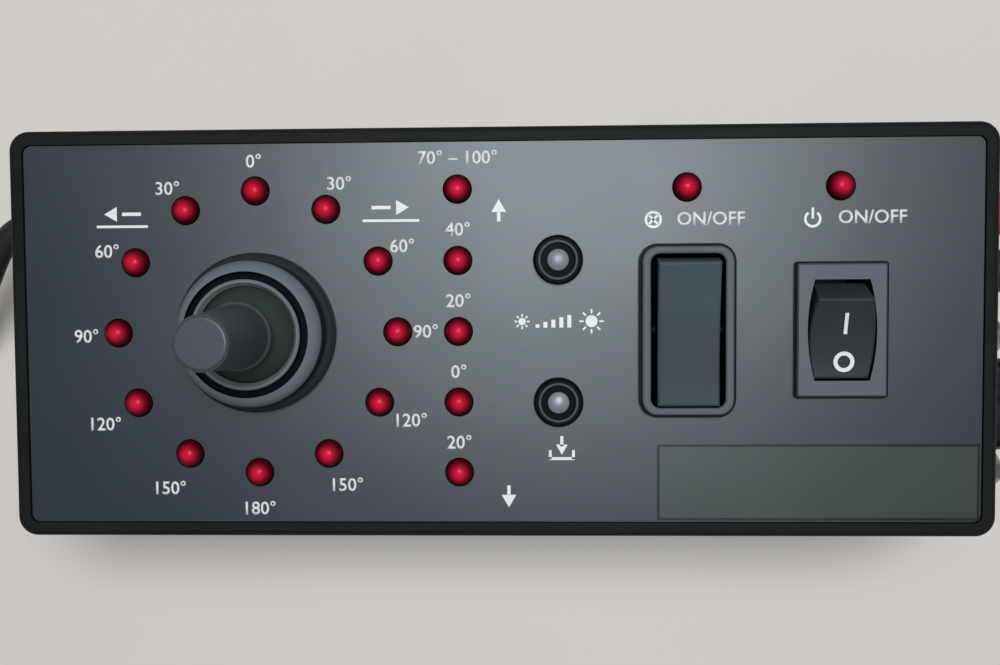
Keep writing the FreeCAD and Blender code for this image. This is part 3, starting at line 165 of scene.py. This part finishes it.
def grained(name, colour, rubbed, grain=2500, patch=60, depth=0.25, smooth=0.35, dull=0.5, **shine):
    """Material whose colour, dullness and grain come from the mould_grain group."""
    material = bpy.data.materials.new(name)
    material.use_nodes = True
    links = material.node_tree.links
    shader = material.node_tree.nodes["Principled BSDF"]
    texture = material.node_tree.nodes.new("ShaderNodeGroup")
    texture.name = "grain"
    texture.node_tree = mould_grain
    texture.inputs["Colour"].default_value = (*colour, 1)
    texture.inputs["Rubbed"].default_value = (*rubbed, 1)
    for socket, value in (("Grain", grain), ("Patch", patch), ("Depth", depth),
                          ("Smooth", smooth), ("Dull", dull)):
        texture.inputs[socket].default_value = value
    links.new(texture.outputs["Colour"], shader.inputs["Base Color"])
    links.new(texture.outputs["Roughness"], shader.inputs["Roughness"])
    links.new(texture.outputs["Normal"], shader.inputs["Normal"])
    for socket, value in shine.items():
        shader.inputs[socket.replace("_", " ")].default_value = value
    return material


def shaded(material, dark, stops, axis=None):
    """Darken the grained colour in zones, by height or by the distance from an upright axis. A stop is a
    measure in metres and the share of the full colour there."""
    tree = material.node_tree
    place = tree.nodes.new("ShaderNodeTexCoord")
    spread = tree.nodes.new("ShaderNodeMapRange")
    if axis:
        flat = tree.nodes.new("ShaderNodeVectorMath")
        flat.operation = "MULTIPLY_ADD"
        flat.inputs[1].default_value = (1, 1, 0)
        flat.inputs[2].default_value = (-axis[0], -axis[1], 0)
        measure = tree.nodes.new("ShaderNodeVectorMath")
        measure.operation = "LENGTH"
        tree.links.new(place.outputs["Object"], flat.inputs[0])
        tree.links.new(flat.outputs["Vector"], measure.inputs[0])
        tree.links.new(measure.outputs["Value"], spread.inputs["Value"])
    else:
        measure = tree.nodes.new("ShaderNodeSeparateXYZ")
        tree.links.new(place.outputs["Object"], measure.inputs["Vector"])
        tree.links.new(measure.outputs["Z"], spread.inputs["Value"])
    first, last = stops[0][0], stops[-1][0]
    spread.inputs["From Min"].default_value = first
    spread.inputs["From Max"].default_value = last
    zones = tree.nodes.new("ShaderNodeValToRGB")
    while len(zones.color_ramp.elements) < len(stops):
        zones.color_ramp.elements.new(0.5)
    for element, (spot, share) in zip(zones.color_ramp.elements, stops):
        element.position = (spot - first) / (last - first)
        element.color = (share, share, share, 1)
    blend = tree.nodes.new("ShaderNodeMix")
    blend.data_type = "RGBA"
    blend.inputs["A"].default_value = (*dark, 1)
    tree.links.new(spread.outputs["Result"], zones.inputs["Fac"])
    tree.links.new(zones.outputs["Color"], blend.inputs["Factor"])
    tree.links.new(tree.nodes["grain"].outputs["Colour"], blend.inputs["B"])
    tree.links.new(blend.outputs["Result"], tree.nodes["Principled BSDF"].inputs["Base Color"])


def dress(material, *names):
    """Give the CAD nodes this material."""
    for name in names:
        if not nodes[name].material_slots:
            nodes[name].data.materials.append(None)
        for slot in nodes[name].material_slots:
            slot.material = material


# Case. Two black ABS mouldings with a fine matt texture: a deep front shell, and a flat rear cover whose
# four rails sit just inside it.
case_black = grained("case_black", (0.009, 0.010, 0.010), (0.014, 0.015, 0.015), grain=1800, smooth=0.42,
                     dull=0.55, Specular_IOR_Level=0.08)
dress(case_black, "front_shell", "rear_cover")

# Cover screws. Black-zinc steel pan heads with a cross recess, driven from behind into the shell's posts and
# rubbed brighter here and there.
black_zinc = grained("black_zinc", (0.02, 0.02, 0.022), (0.07, 0.07, 0.072), grain=4000, patch=900, depth=0.1,
                     smooth=0.28, dull=0.45, Metallic=1.0)
dress(black_zinc, "cover_screws")

# Face sheet. Polycarbonate film, printed dark grey on its back, with a satin front that spreads the light
# above it into one broad glow.
satin_film = grained("satin_film", (0.013, 0.020, 0.027), (0.017, 0.024, 0.031), grain=5200, patch=25,
                     depth=0.12, smooth=0.37, dull=0.40, Specular_IOR_Level=1.0)
dress(satin_film, "face_overlay")

# Name plate. A bare film label of the same kind as the face sheet, a shade greener and a little less glossy,
# with a thin dark line printed round its edge.
plate_film = grained("plate_film", (0.022, 0.032, 0.029), (0.026, 0.036, 0.033), grain=5200, patch=40,
                     depth=0.12, smooth=0.38, dull=0.42, Specular_IOR_Level=0.9)
dress(plate_film, "name_plate")
plate_low, plate_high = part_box("name_plate")
line_width = 0.4 * mm
line_height = 0.03 * mm
bpy.ops.mesh.primitive_plane_add(size=1, location=((plate_low.x + plate_high.x) / 2,
                                                  (plate_low.y + plate_high.y) / 2, plate_high.z))
border = bpy.context.object
border.name = "plate_border"
border.scale = (plate_high.x - plate_low.x, plate_high.y - plate_low.y, 1)
bpy.ops.object.transform_apply()
bpy.ops.object.mode_set(mode="EDIT")
bpy.ops.mesh.inset(thickness=line_width)
bpy.ops.mesh.delete(type="FACE")
bpy.ops.mesh.select_all(action="SELECT")
bpy.ops.mesh.extrude_region_move(TRANSFORM_OT_translate={"value": (0, 0, line_height)})
bpy.ops.mesh.select_all(action="SELECT")
bpy.ops.mesh.normals_make_consistent(inside=False)
bpy.ops.object.mode_set(mode="OBJECT")
black_ink = grained("black_ink", (0.008, 0.009, 0.009), (0.014, 0.015, 0.015), grain=6000, depth=0.05)
border.data.materials.append(black_ink)
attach(border, "case")
bpy.ops.object.select_all(action="DESELECT")

# Printing. White screen ink on the face sheet: degrees beside the lamps, arrows for the four directions,
# and plain signs and ON/OFF at the buttons and switches. It stands a few hundredths of a millimetre proud.
ink_height = 0.04 * mm
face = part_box("face_overlay")[1].z
capital = 2.38 * mm
capital_share = 0.729
thin = 0.42
printing = []


def words(text, x, y):
    """Centred lettering, a touch bolder than the plain font. All marks are given in millimetres."""
    bpy.ops.object.text_add(location=(x * mm, y * mm, face))
    lettering = bpy.context.object.data
    lettering.body = text
    lettering.size = capital / capital_share
    lettering.offset = 0.045 * mm
    lettering.align_x = "CENTER"
    lettering.align_y = "CENTER"
    lettering.resolution_u = 3
    bpy.ops.object.convert(target="MESH")
    printing.append(bpy.context.object)


def bar(x, y, length, width=thin, turn=0):
    """Straight stroke through its middle."""
    bpy.ops.mesh.primitive_plane_add(size=1, location=(x * mm, y * mm, face),
                                     rotation=(0, 0, math.radians(turn)))
    bpy.context.object.scale = (length * mm, width * mm, 1)
    printing.append(bpy.context.object)


def arrow_head(x, y, reach, turn):
    """Filled triangle that points the way it is turned."""
    bpy.ops.mesh.primitive_circle_add(vertices=3, radius=reach * mm, fill_type="NGON",
                                      location=(x * mm, y * mm, face),
                                      rotation=(0, 0, math.radians(turn - 90)))
    printing.append(bpy.context.object)


def loop(x, y, radius, opening=0):
    """Thin ring, left open at its top by so many degrees."""
    bpy.ops.mesh.primitive_circle_add(vertices=40, radius=radius * mm, fill_type="NGON",
                                      location=(x * mm, y * mm, face))
    ring = bpy.context.object
    bpy.ops.object.mode_set(mode="EDIT")
    bpy.ops.mesh.inset(thickness=thin * mm)
    bpy.ops.mesh.delete(type="FACE")
    bpy.ops.object.mode_set(mode="OBJECT")
    for side in ring.data.polygons:
        side.select = abs(math.degrees(math.atan2(side.center.x, side.center.y))) < opening / 2
    bpy.ops.object.mode_set(mode="EDIT")
    bpy.ops.mesh.delete(type="FACE")
    bpy.ops.object.mode_set(mode="OBJECT")
    printing.append(ring)


def sun(x, y, radius):
    """Disc with eight rays, the usual sign for brightness."""
    bpy.ops.mesh.primitive_circle_add(vertices=24, radius=radius * 0.5 * mm, fill_type="NGON",
                                      location=(x * mm, y * mm, face))
    printing.append(bpy.context.object)
    reach, ray_length, ray_width = radius * 0.84, radius * 0.36, 0.3
    for turn in range(0, 360, 45):
        angle = math.radians(turn)
        bar(x + reach * math.cos(angle), y + reach * math.sin(angle), ray_length, ray_width, turn)


lamp_low, lamp_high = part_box("pan_lamps")
ring_x, ring_y = (lamp_low.x + lamp_high.x) / 2 / mm, (lamp_low.y + lamp_high.y) / 2 / mm
upper_reach, lower_reach = 30.2, 31.5
for degrees in range(0, 181, 30):
    away = upper_reach if degrees <= 90 else lower_reach
    for side in (-1, 1) if 0 < degrees < 180 else (1,):
        angle = math.radians(degrees)
        shift_x, shift_y = (-0.6, -0.7) if side < 0 else (-0.2, -0.1)
        words(f"{degrees}°", ring_x + shift_x + side * away * math.sin(angle),
              ring_y + shift_y + away * math.cos(angle))
column_low, column_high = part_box("tilt_lamps")
column_x = (column_low.x + column_high.x) / 2 / mm + 0.05
first_rise, legend_pitch = 8.15, 12.55
for row, text in enumerate(("20°", "0°", "20°", "40°", "70° – 100°")):
    words(text, column_x, column_low.y / mm + first_rise + legend_pitch * row)
left_x, left_y, right_x, right_y = -66.7, 21.4, -18.8, 22.2
long_stem, short_stem = 3.4, 1.6
for x, y, stem, turn in ((left_x, left_y, long_stem, 180), (right_x, right_y, long_stem, 0),
                         (0.2, 21.2, short_stem, 90), (1.7, -28.7, short_stem, -90)):
    forward = Vector((math.cos(math.radians(turn)), math.sin(math.radians(turn))))
    arrow_head(x + forward.x * stem / 2, y + forward.y * stem / 2, 1.5, turn)
    bar(x - forward.x * stem / 2, y - forward.y * stem / 2, stem, 0.6, turn)
bar(left_x, 19.2, 9.2, 0.45)
bar(right_x, 19.9, 10.0, 0.45)
suns_y, bars_foot = 2.0, 0.9
sun(4.2, suns_y, 1.3)
sun(16.4, suns_y, 2.1)
for level in range(1, 6):
    tall = 0.4 * level + 0.2
    bar(5.5 + 1.4 * level, bars_foot + tall / 2, tall, 0.7, 90)
store_x, tray_y = 11.1, -22.3
arrow_head(store_x, -20.4, 1.2, -90)
bar(store_x, -19.2, 1.8, 0.55, 90)
bar(store_x, tray_y, 4.6, 0.5)
for side in (-1, 1):
    bar(store_x + side * 2.05, tray_y + 0.7, 1.6, 0.5, 90)
light_x, light_y = 27.2, 19.7
words("ON/OFF", light_x + 10, light_y)
loop(light_x, light_y, 1.5)
for turn in (45, -45):
    bar(light_x, light_y, 2.4, 0.4, turn)
power_x, power_y = 54.8, 19.6
words("ON/OFF", power_x + 10.3, power_y + 0.2)
loop(power_x, power_y, 1.5, opening=80)
bar(power_x, power_y + 1, 1.9, thin, 90)
for mark in printing:
    mark.select_set(True)
bpy.context.view_layer.objects.active = printing[0]
bpy.ops.object.transform_apply()
bpy.ops.object.join()
legends = bpy.context.object
legends.name = "legends"
bpy.ops.object.mode_set(mode="EDIT")
bpy.ops.mesh.select_all(action="SELECT")
bpy.ops.mesh.extrude_region_move(TRANSFORM_OT_translate={"value": (0, 0, ink_height)})
bpy.ops.mesh.select_all(action="SELECT")
bpy.ops.mesh.normals_make_consistent(inside=False)
bpy.ops.object.mode_set(mode="OBJECT")
white_ink = grained("white_ink", (0.77, 0.79, 0.80), (0.67, 0.69, 0.71), grain=3000, patch=400, depth=0.1)
legends.data.materials.append(white_ink)
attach(legends, "case")
bpy.ops.object.select_all(action="DESELECT")

# Circuit boards and what is soldered to them. Green glass-epoxy boards, a black chip, regulator and
# resistors, and tinned wires, pins and tabs.
board_green = grained("board_green", (0.010, 0.075, 0.030), (0.016, 0.10, 0.042), grain=1500, patch=300,
                      depth=0.1)
dress(board_green, "lamp_board", "sensor_board")
part_black = grained("part_black", (0.012, 0.012, 0.013), (0.03, 0.03, 0.031), grain=3000, patch=300,
                     depth=0.2)
dress(part_black, "controller_chip", "voltage_regulator", "lamp_resistors")
tinned = grained("tinned", (0.55, 0.55, 0.53), (0.40, 0.40, 0.39), grain=2500, patch=800, depth=0.1,
                 smooth=0.25, dull=0.45, Metallic=1.0)
dress(tinned, "lamp_leads", "button_pins", "light_switch_tabs", "power_switch_tabs")

# Turned and wound steel. Zinc-plated screws, nuts, posts and pins, the shaft and magnet of the stick, and the
# three springs.
zinc_steel = grained("zinc_steel", (0.42, 0.42, 0.41), (0.30, 0.30, 0.29), grain=3500, patch=500, depth=0.1,
                     smooth=0.25, dull=0.4, Metallic=1.0)
dress(zinc_steel, "board_screws", "joystick_nut", "button_nuts", "socket_nuts", "jack_posts", "gimbal_pins",
      "cross_pin", "stick_shaft", "stick_magnet", "return_spring", "brightness_spring", "memory_spring")

# Springs. Each one is given a mesh of its own, listed with the joint that bears down on it and that joint's
# travel.
button_stroke, collar_dip = 1.0 * mm, 1.2 * mm
for name, joint, travel in (("brightness_spring", "brightness_press", button_stroke),
                            ("memory_spring", "memory_press", button_stroke),
                            ("return_spring", "stick_tilt", collar_dip)):
    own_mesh(nodes[name])

# Lamps. Five-millimetre lamps of clear red resin, pushed through the face from behind, unlit. The dome's
# colour is painted bright on top and shades to deep red low on its side: a painted highlight and painted
# shade.
lamp_red = grained("lamp_red", (0.57, 0.009, 0.041), (0.63, 0.013, 0.049), grain=1200, patch=500, depth=0.05,
                   smooth=0.14, dull=0.20, Specular_IOR_Level=0.12)
lamp_top = lamp_high.z
painted_shade_red = (0.02, 0.001, 0.002)
# Painted highlight and shade: bright at the top of the dome, darker down its side by height.
shaded(lamp_red, painted_shade_red, (
    (lamp_top - 1.8 * mm, 0.02), (lamp_top - 1.1 * mm, 0.09), (lamp_top - 0.6 * mm, 0.30),
    (lamp_top - 0.3 * mm, 0.58), (lamp_top - 0.12 * mm, 0.86), (lamp_top, 1)))
dress(lamp_red, "pan_lamps", "tilt_lamps", "light_lamp", "power_lamp")

# Joystick. Glass-filled nylon bezel with a satin raised ring and a lip, with painted shade black in the
# groove between them and dim inside the lip and on the flange; below it the cup and the gimbal, in it the
# black dome, and on top the knob.
bezel_low, bezel_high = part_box("joystick_bezel")
stick_x, stick_y = (bezel_low.x + bezel_high.x) / 2, (bezel_low.y + bezel_high.y) / 2
bezel_plastic = grained("bezel_plastic", (0.134, 0.148, 0.168), (0.150, 0.164, 0.184), grain=2600,
                        smooth=0.26, dull=0.38, Specular_IOR_Level=0.03)
painted_groove_shade = (0.003, 0.004, 0.006)
lip_inside, lip_outside, ring_inside, ring_outside = 8.4 * mm, 9.42 * mm, 10.84 * mm, 12.6 * mm
edge = 0.06 * mm
# Painted shade: black in the groove, dimmed inside the lip and on the flange; the lip and the ring keep the
# full colour.
shaded(bezel_plastic, painted_groove_shade, (
    (lip_inside - 0.15 * mm, 0.2), (lip_inside, 1), (lip_outside, 1), (lip_outside + edge, 0),
    (ring_inside - edge, 0), (ring_inside, 1), (ring_outside, 1), (ring_outside + 0.1 * mm, 0.13)),
    (stick_x, stick_y))
dress(bezel_plastic, "joystick_bezel")
cup_black = grained("cup_black", (0.014, 0.014, 0.015), (0.022, 0.022, 0.023), grain=2200)
dress(cup_black, "joystick_base", "gimbal_ring")
dome_black = grained("dome_black", (0.026, 0.036, 0.032), (0.034, 0.044, 0.040), grain=2600, smooth=0.36,
                     dull=0.46, Specular_IOR_Level=0.4)
dress(dome_black, "stick_dome")
knob_grey = grained("knob_grey", (0.044, 0.051, 0.060), (0.055, 0.062, 0.071), grain=3200, smooth=0.32,
                    dull=0.42)
dress(knob_grey, "stick_knob")

# Switches. Snap-in rocker switches of black nylon: the large one has a raised lip round its rocker, the
# small one a flat frame with a barrel-shaped rocker that carries the I and O marks.
painted_side_shade = (0.006, 0.007, 0.009)
lip_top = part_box("light_switch_body")[1].z
lip_painted_sheen = grained("lip_painted_sheen", (0.104, 0.110, 0.126), (0.118, 0.124, 0.140), grain=2600, smooth=0.3,
                   dull=0.42, Specular_IOR_Level=0.06)
# Painted sheen and shade: the top of the lip is painted grey as where light catches it, its sides black as in
# shade.
shaded(lip_painted_sheen, painted_side_shade, ((lip_top - 0.6 * mm, 0), (lip_top - 0.15 * mm, 1)))
dress(lip_painted_sheen, "light_switch_body")
frame_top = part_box("power_switch_body")[1].z
frame_painted_sheen = grained("frame_painted_sheen", (0.086, 0.092, 0.107), (0.098, 0.104, 0.119), grain=2600, smooth=0.36,
                     dull=0.46, Specular_IOR_Level=0.4)
# Painted sheen and shade: the flat top of the frame is painted grey as where light falls, its sides black as
# in shade.
shaded(frame_painted_sheen, painted_side_shade, ((frame_top - 0.4 * mm, 0), (frame_top - 0.02 * mm, 1)))
dress(frame_painted_sheen, "power_switch_body")
light_rocker_blue = grained("light_rocker_blue", (0.054, 0.073, 0.085), (0.065, 0.086, 0.098), grain=3000,
                            smooth=0.42, dull=0.52, Specular_IOR_Level=0.12)
cap_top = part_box("light_rocker")[1].z
# Painted shade: the low end of the rocker face is painted darker and the trunnions below it black, by height.
shaded(light_rocker_blue, (0.002, 0.002, 0.002), (
    (cap_top - 4 * mm, 0), (cap_top - 3.2 * mm, 0.72), (cap_top - 2.6 * mm, 0.72), (cap_top - 1.4 * mm, 1)))
dress(light_rocker_blue, "light_rocker")
rocker_black = grained("rocker_black", (0.024, 0.030, 0.034), (0.032, 0.038, 0.043), grain=3000, smooth=0.36,
                       dull=0.48, Specular_IOR_Level=0.25)
dress(rocker_black, "power_rocker")

# I and O of the small rocker. Both are drawn flat above it, laid on its curved top, and given the thickness
# of the same white ink.
rocker_low, rocker_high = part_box("power_rocker")
marks_x = (rocker_low.x + rocker_high.x) / 2 + 0.4 * mm
rocker_y = (rocker_low.y + rocker_high.y) / 2
above = rocker_high.z + 2 * mm
marks = []
bpy.ops.mesh.primitive_plane_add(size=1, location=(marks_x, rocker_y + 1.4 * mm, above))
bpy.context.object.scale = (0.62 * mm, 3.7 * mm, 1)
marks.append(bpy.context.object)
bpy.ops.mesh.primitive_circle_add(vertices=36, radius=1.8 * mm, fill_type="NGON",
                                  location=(marks_x, rocker_y - 5.3 * mm, above))
bpy.ops.object.mode_set(mode="EDIT")
bpy.ops.mesh.inset(thickness=0.7 * mm)
bpy.ops.mesh.delete(type="FACE")
bpy.ops.object.mode_set(mode="OBJECT")
marks.append(bpy.context.object)
for mark in marks:
    mark.select_set(True)
bpy.context.view_layer.objects.active = marks[0]
bpy.ops.object.transform_apply()
bpy.ops.object.join()
rocker_marks = bpy.context.object
rocker_marks.name = "rocker_marks"
bpy.ops.object.mode_set(mode="EDIT")
bpy.ops.mesh.select_all(action="SELECT")
bpy.ops.mesh.subdivide(number_cuts=6)
bpy.ops.object.mode_set(mode="OBJECT")
wrap = rocker_marks.modifiers.new("wrap", "SHRINKWRAP")
wrap.target = nodes["power_rocker"]
wrap.wrap_method = "PROJECT"
wrap.use_project_z = True
wrap.use_negative_direction = True
wrap.use_positive_direction = False
wrap.offset = 0.01 * mm
bpy.ops.object.modifier_apply(modifier="wrap")
ink = rocker_marks.modifiers.new("ink", "SOLIDIFY")
ink.thickness = ink_height
ink.offset = 1
bpy.ops.object.modifier_apply(modifier="ink")
rocker_marks.data.materials.append(white_ink)
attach(rocker_marks, "power_rocker")
bpy.ops.object.select_all(action="DESELECT")

# Push buttons. Black threaded bodies with a painted highlight, a narrow grey ring on the rim, and a domed
# plunger with a satin plating.
rim_highlight_inside, rim_highlight_outside, fade = 3.15 * mm, 3.4 * mm, 0.1 * mm
for button in ("brightness", "memory"):
    rim_low, rim_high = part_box(f"{button}_button_body")
    button_black = grained(f"{button}_black", (0.060, 0.068, 0.076), (0.085, 0.094, 0.104), grain=3000,
                           smooth=0.4, dull=0.5, Specular_IOR_Level=0.05)
    # Painted highlight: a narrow grey ring on the rolled rim; the rest of the body stays near black.
    shaded(button_black, (0.004, 0.005, 0.006), (
        (rim_highlight_inside - fade, 0), (rim_highlight_inside, 1), (rim_highlight_outside, 1), (rim_highlight_outside + fade, 0)),
        ((rim_low.x + rim_high.x) / 2, (rim_low.y + rim_high.y) / 2))
    dress(button_black, f"{button}_button_body")
satin_plate = grained("satin_plate", (0.34, 0.365, 0.39), (0.28, 0.30, 0.325), grain=5000, patch=900,
                      depth=0.1, smooth=0.38, dull=0.5, Metallic=0.45)
dress(satin_plate, "brightness_plunger", "memory_plunger")

# Sockets of the right wall. Two insulated 4 mm sockets, one red and one black, and a nine-way data socket
# with a shell of dull, dark nickel.
socket_red = grained("socket_red", (0.45, 0.012, 0.018), (0.52, 0.02, 0.03), grain=2600)
dress(socket_red, "red_socket")
dress(part_black, "black_socket", "data_insert")
dark_nickel = grained("dark_nickel", (0.085, 0.085, 0.090), (0.055, 0.055, 0.060), grain=3000, patch=400,
                      depth=0.08, smooth=0.22, dull=0.36, Metallic=1.0)
dress(dark_nickel, "data_socket")

# Cable. Five-millimetre black lead, limp, which leaves the gland, drops to the table and is put away as
# a neat coil of two turns side by side in four layers, with its plug beside the coil. The route is in
# millimetres.
run = [(-91.9, 21.5, 20.0), (-94.9, 21.1, 19.9), (-98.4, 19.2, 19.7), (-101.1, 16.2, 19.0),
       (-103.6, 11.9, 17.8), (-107.8, 5.1, 14.6), (-113.0, -2.3, 10.0), (-118.4, -9.5, 5.9),
       (-121.9, -17.6, 3.6), (-123.5, -26.0, 2.6)]
tail = [(-186.5, -26.0, 17.5), (-186.5, -19.2, 17.5), (-187.5, -12.5, 15.0), (-190.0, -5.5, 8.5),
        (-191.0, 1.2, 6.0), (-191.0, 8.0, 6.0)]
coil_low, coil_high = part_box("cable_coil")
coil_x, coil_y = (coil_low.x + coil_high.x) / 2 / mm, (coil_low.y + coil_high.y) / 2 / mm
strand = 5.0
outer_turn = (coil_high.x - coil_low.x) / 2 / mm - strand / 2
lanes = []
for layer in range(4):
    pair = [outer_turn, outer_turn - strand]
    for radius in pair if layer % 2 == 0 else reversed(pair):
        lanes.append((radius, strand / 2 + strand * layer))
last_lane = len(lanes) - 1
step = 10
step_over = 24
coil_end = last_lane * 360 + 180
route = list(run)
for turned in range(step, coil_end, step):
    passed = turned / (360 - step_over)
    whole = int(passed)
    share = min(max((passed - whole) * (360 - step_over) / step_over, 0), 1)
    here, before = lanes[min(whole, last_lane)], lanes[max(min(whole, last_lane) - 1, 0)]
    radius = before[0] + (here[0] - before[0]) * share
    height = before[1] + (here[1] - before[1]) * share
    angle = math.radians(-turned)
    route.append((coil_x + radius * math.cos(angle), coil_y + radius * math.sin(angle), height))
route += tail
curve = bpy.data.curves.new("cable", "CURVE")
curve.dimensions = "3D"
line = curve.splines.new("NURBS")
line.points.add(len(route) - 1)
for point, spot in zip(line.points, route):
    point.co = (spot[0] * mm, spot[1] * mm, spot[2] * mm, 1)
line.order_u = 3
line.use_endpoint_u = True
line.resolution_u = 6
curve.bevel_depth = strand / 2 * mm
curve.bevel_resolution = 4
cable = bpy.data.objects.new("cable", curve)
bpy.context.scene.collection.objects.link(cable)
cable_black = grained("cable_black", (0.012, 0.012, 0.012), (0.020, 0.020, 0.020), grain=1500, patch=80,
                      smooth=0.4, dull=0.55)
curve.materials.append(cable_black)
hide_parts("cable_run", "cable_coil", "cable_tail")
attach(cable, "case")

# Gland and plug. Black rubber where the cable leaves the wall, and a round plug with a nickel shell, a
# rubber sleeve and five gilt pins.
rubber_black = grained("rubber_black", (0.010, 0.010, 0.010), (0.018, 0.018, 0.018), grain=2000, smooth=0.5,
                       dull=0.65)
dress(rubber_black, "cable_gland", "plug_sleeve")
dress(cup_black, "gland_nut")
nickel = grained("nickel", (0.56, 0.55, 0.52), (0.44, 0.43, 0.41), grain=3000, patch=400, depth=0.08,
                 smooth=0.2, dull=0.34, Metallic=1.0)
dress(nickel, "cable_plug")
gilt = grained("gilt", (0.75, 0.55, 0.22), (0.62, 0.44, 0.17), grain=3000, patch=900, depth=0.05, smooth=0.18,
               dull=0.3, Metallic=1.0)
dress(gilt, "plug_pins")
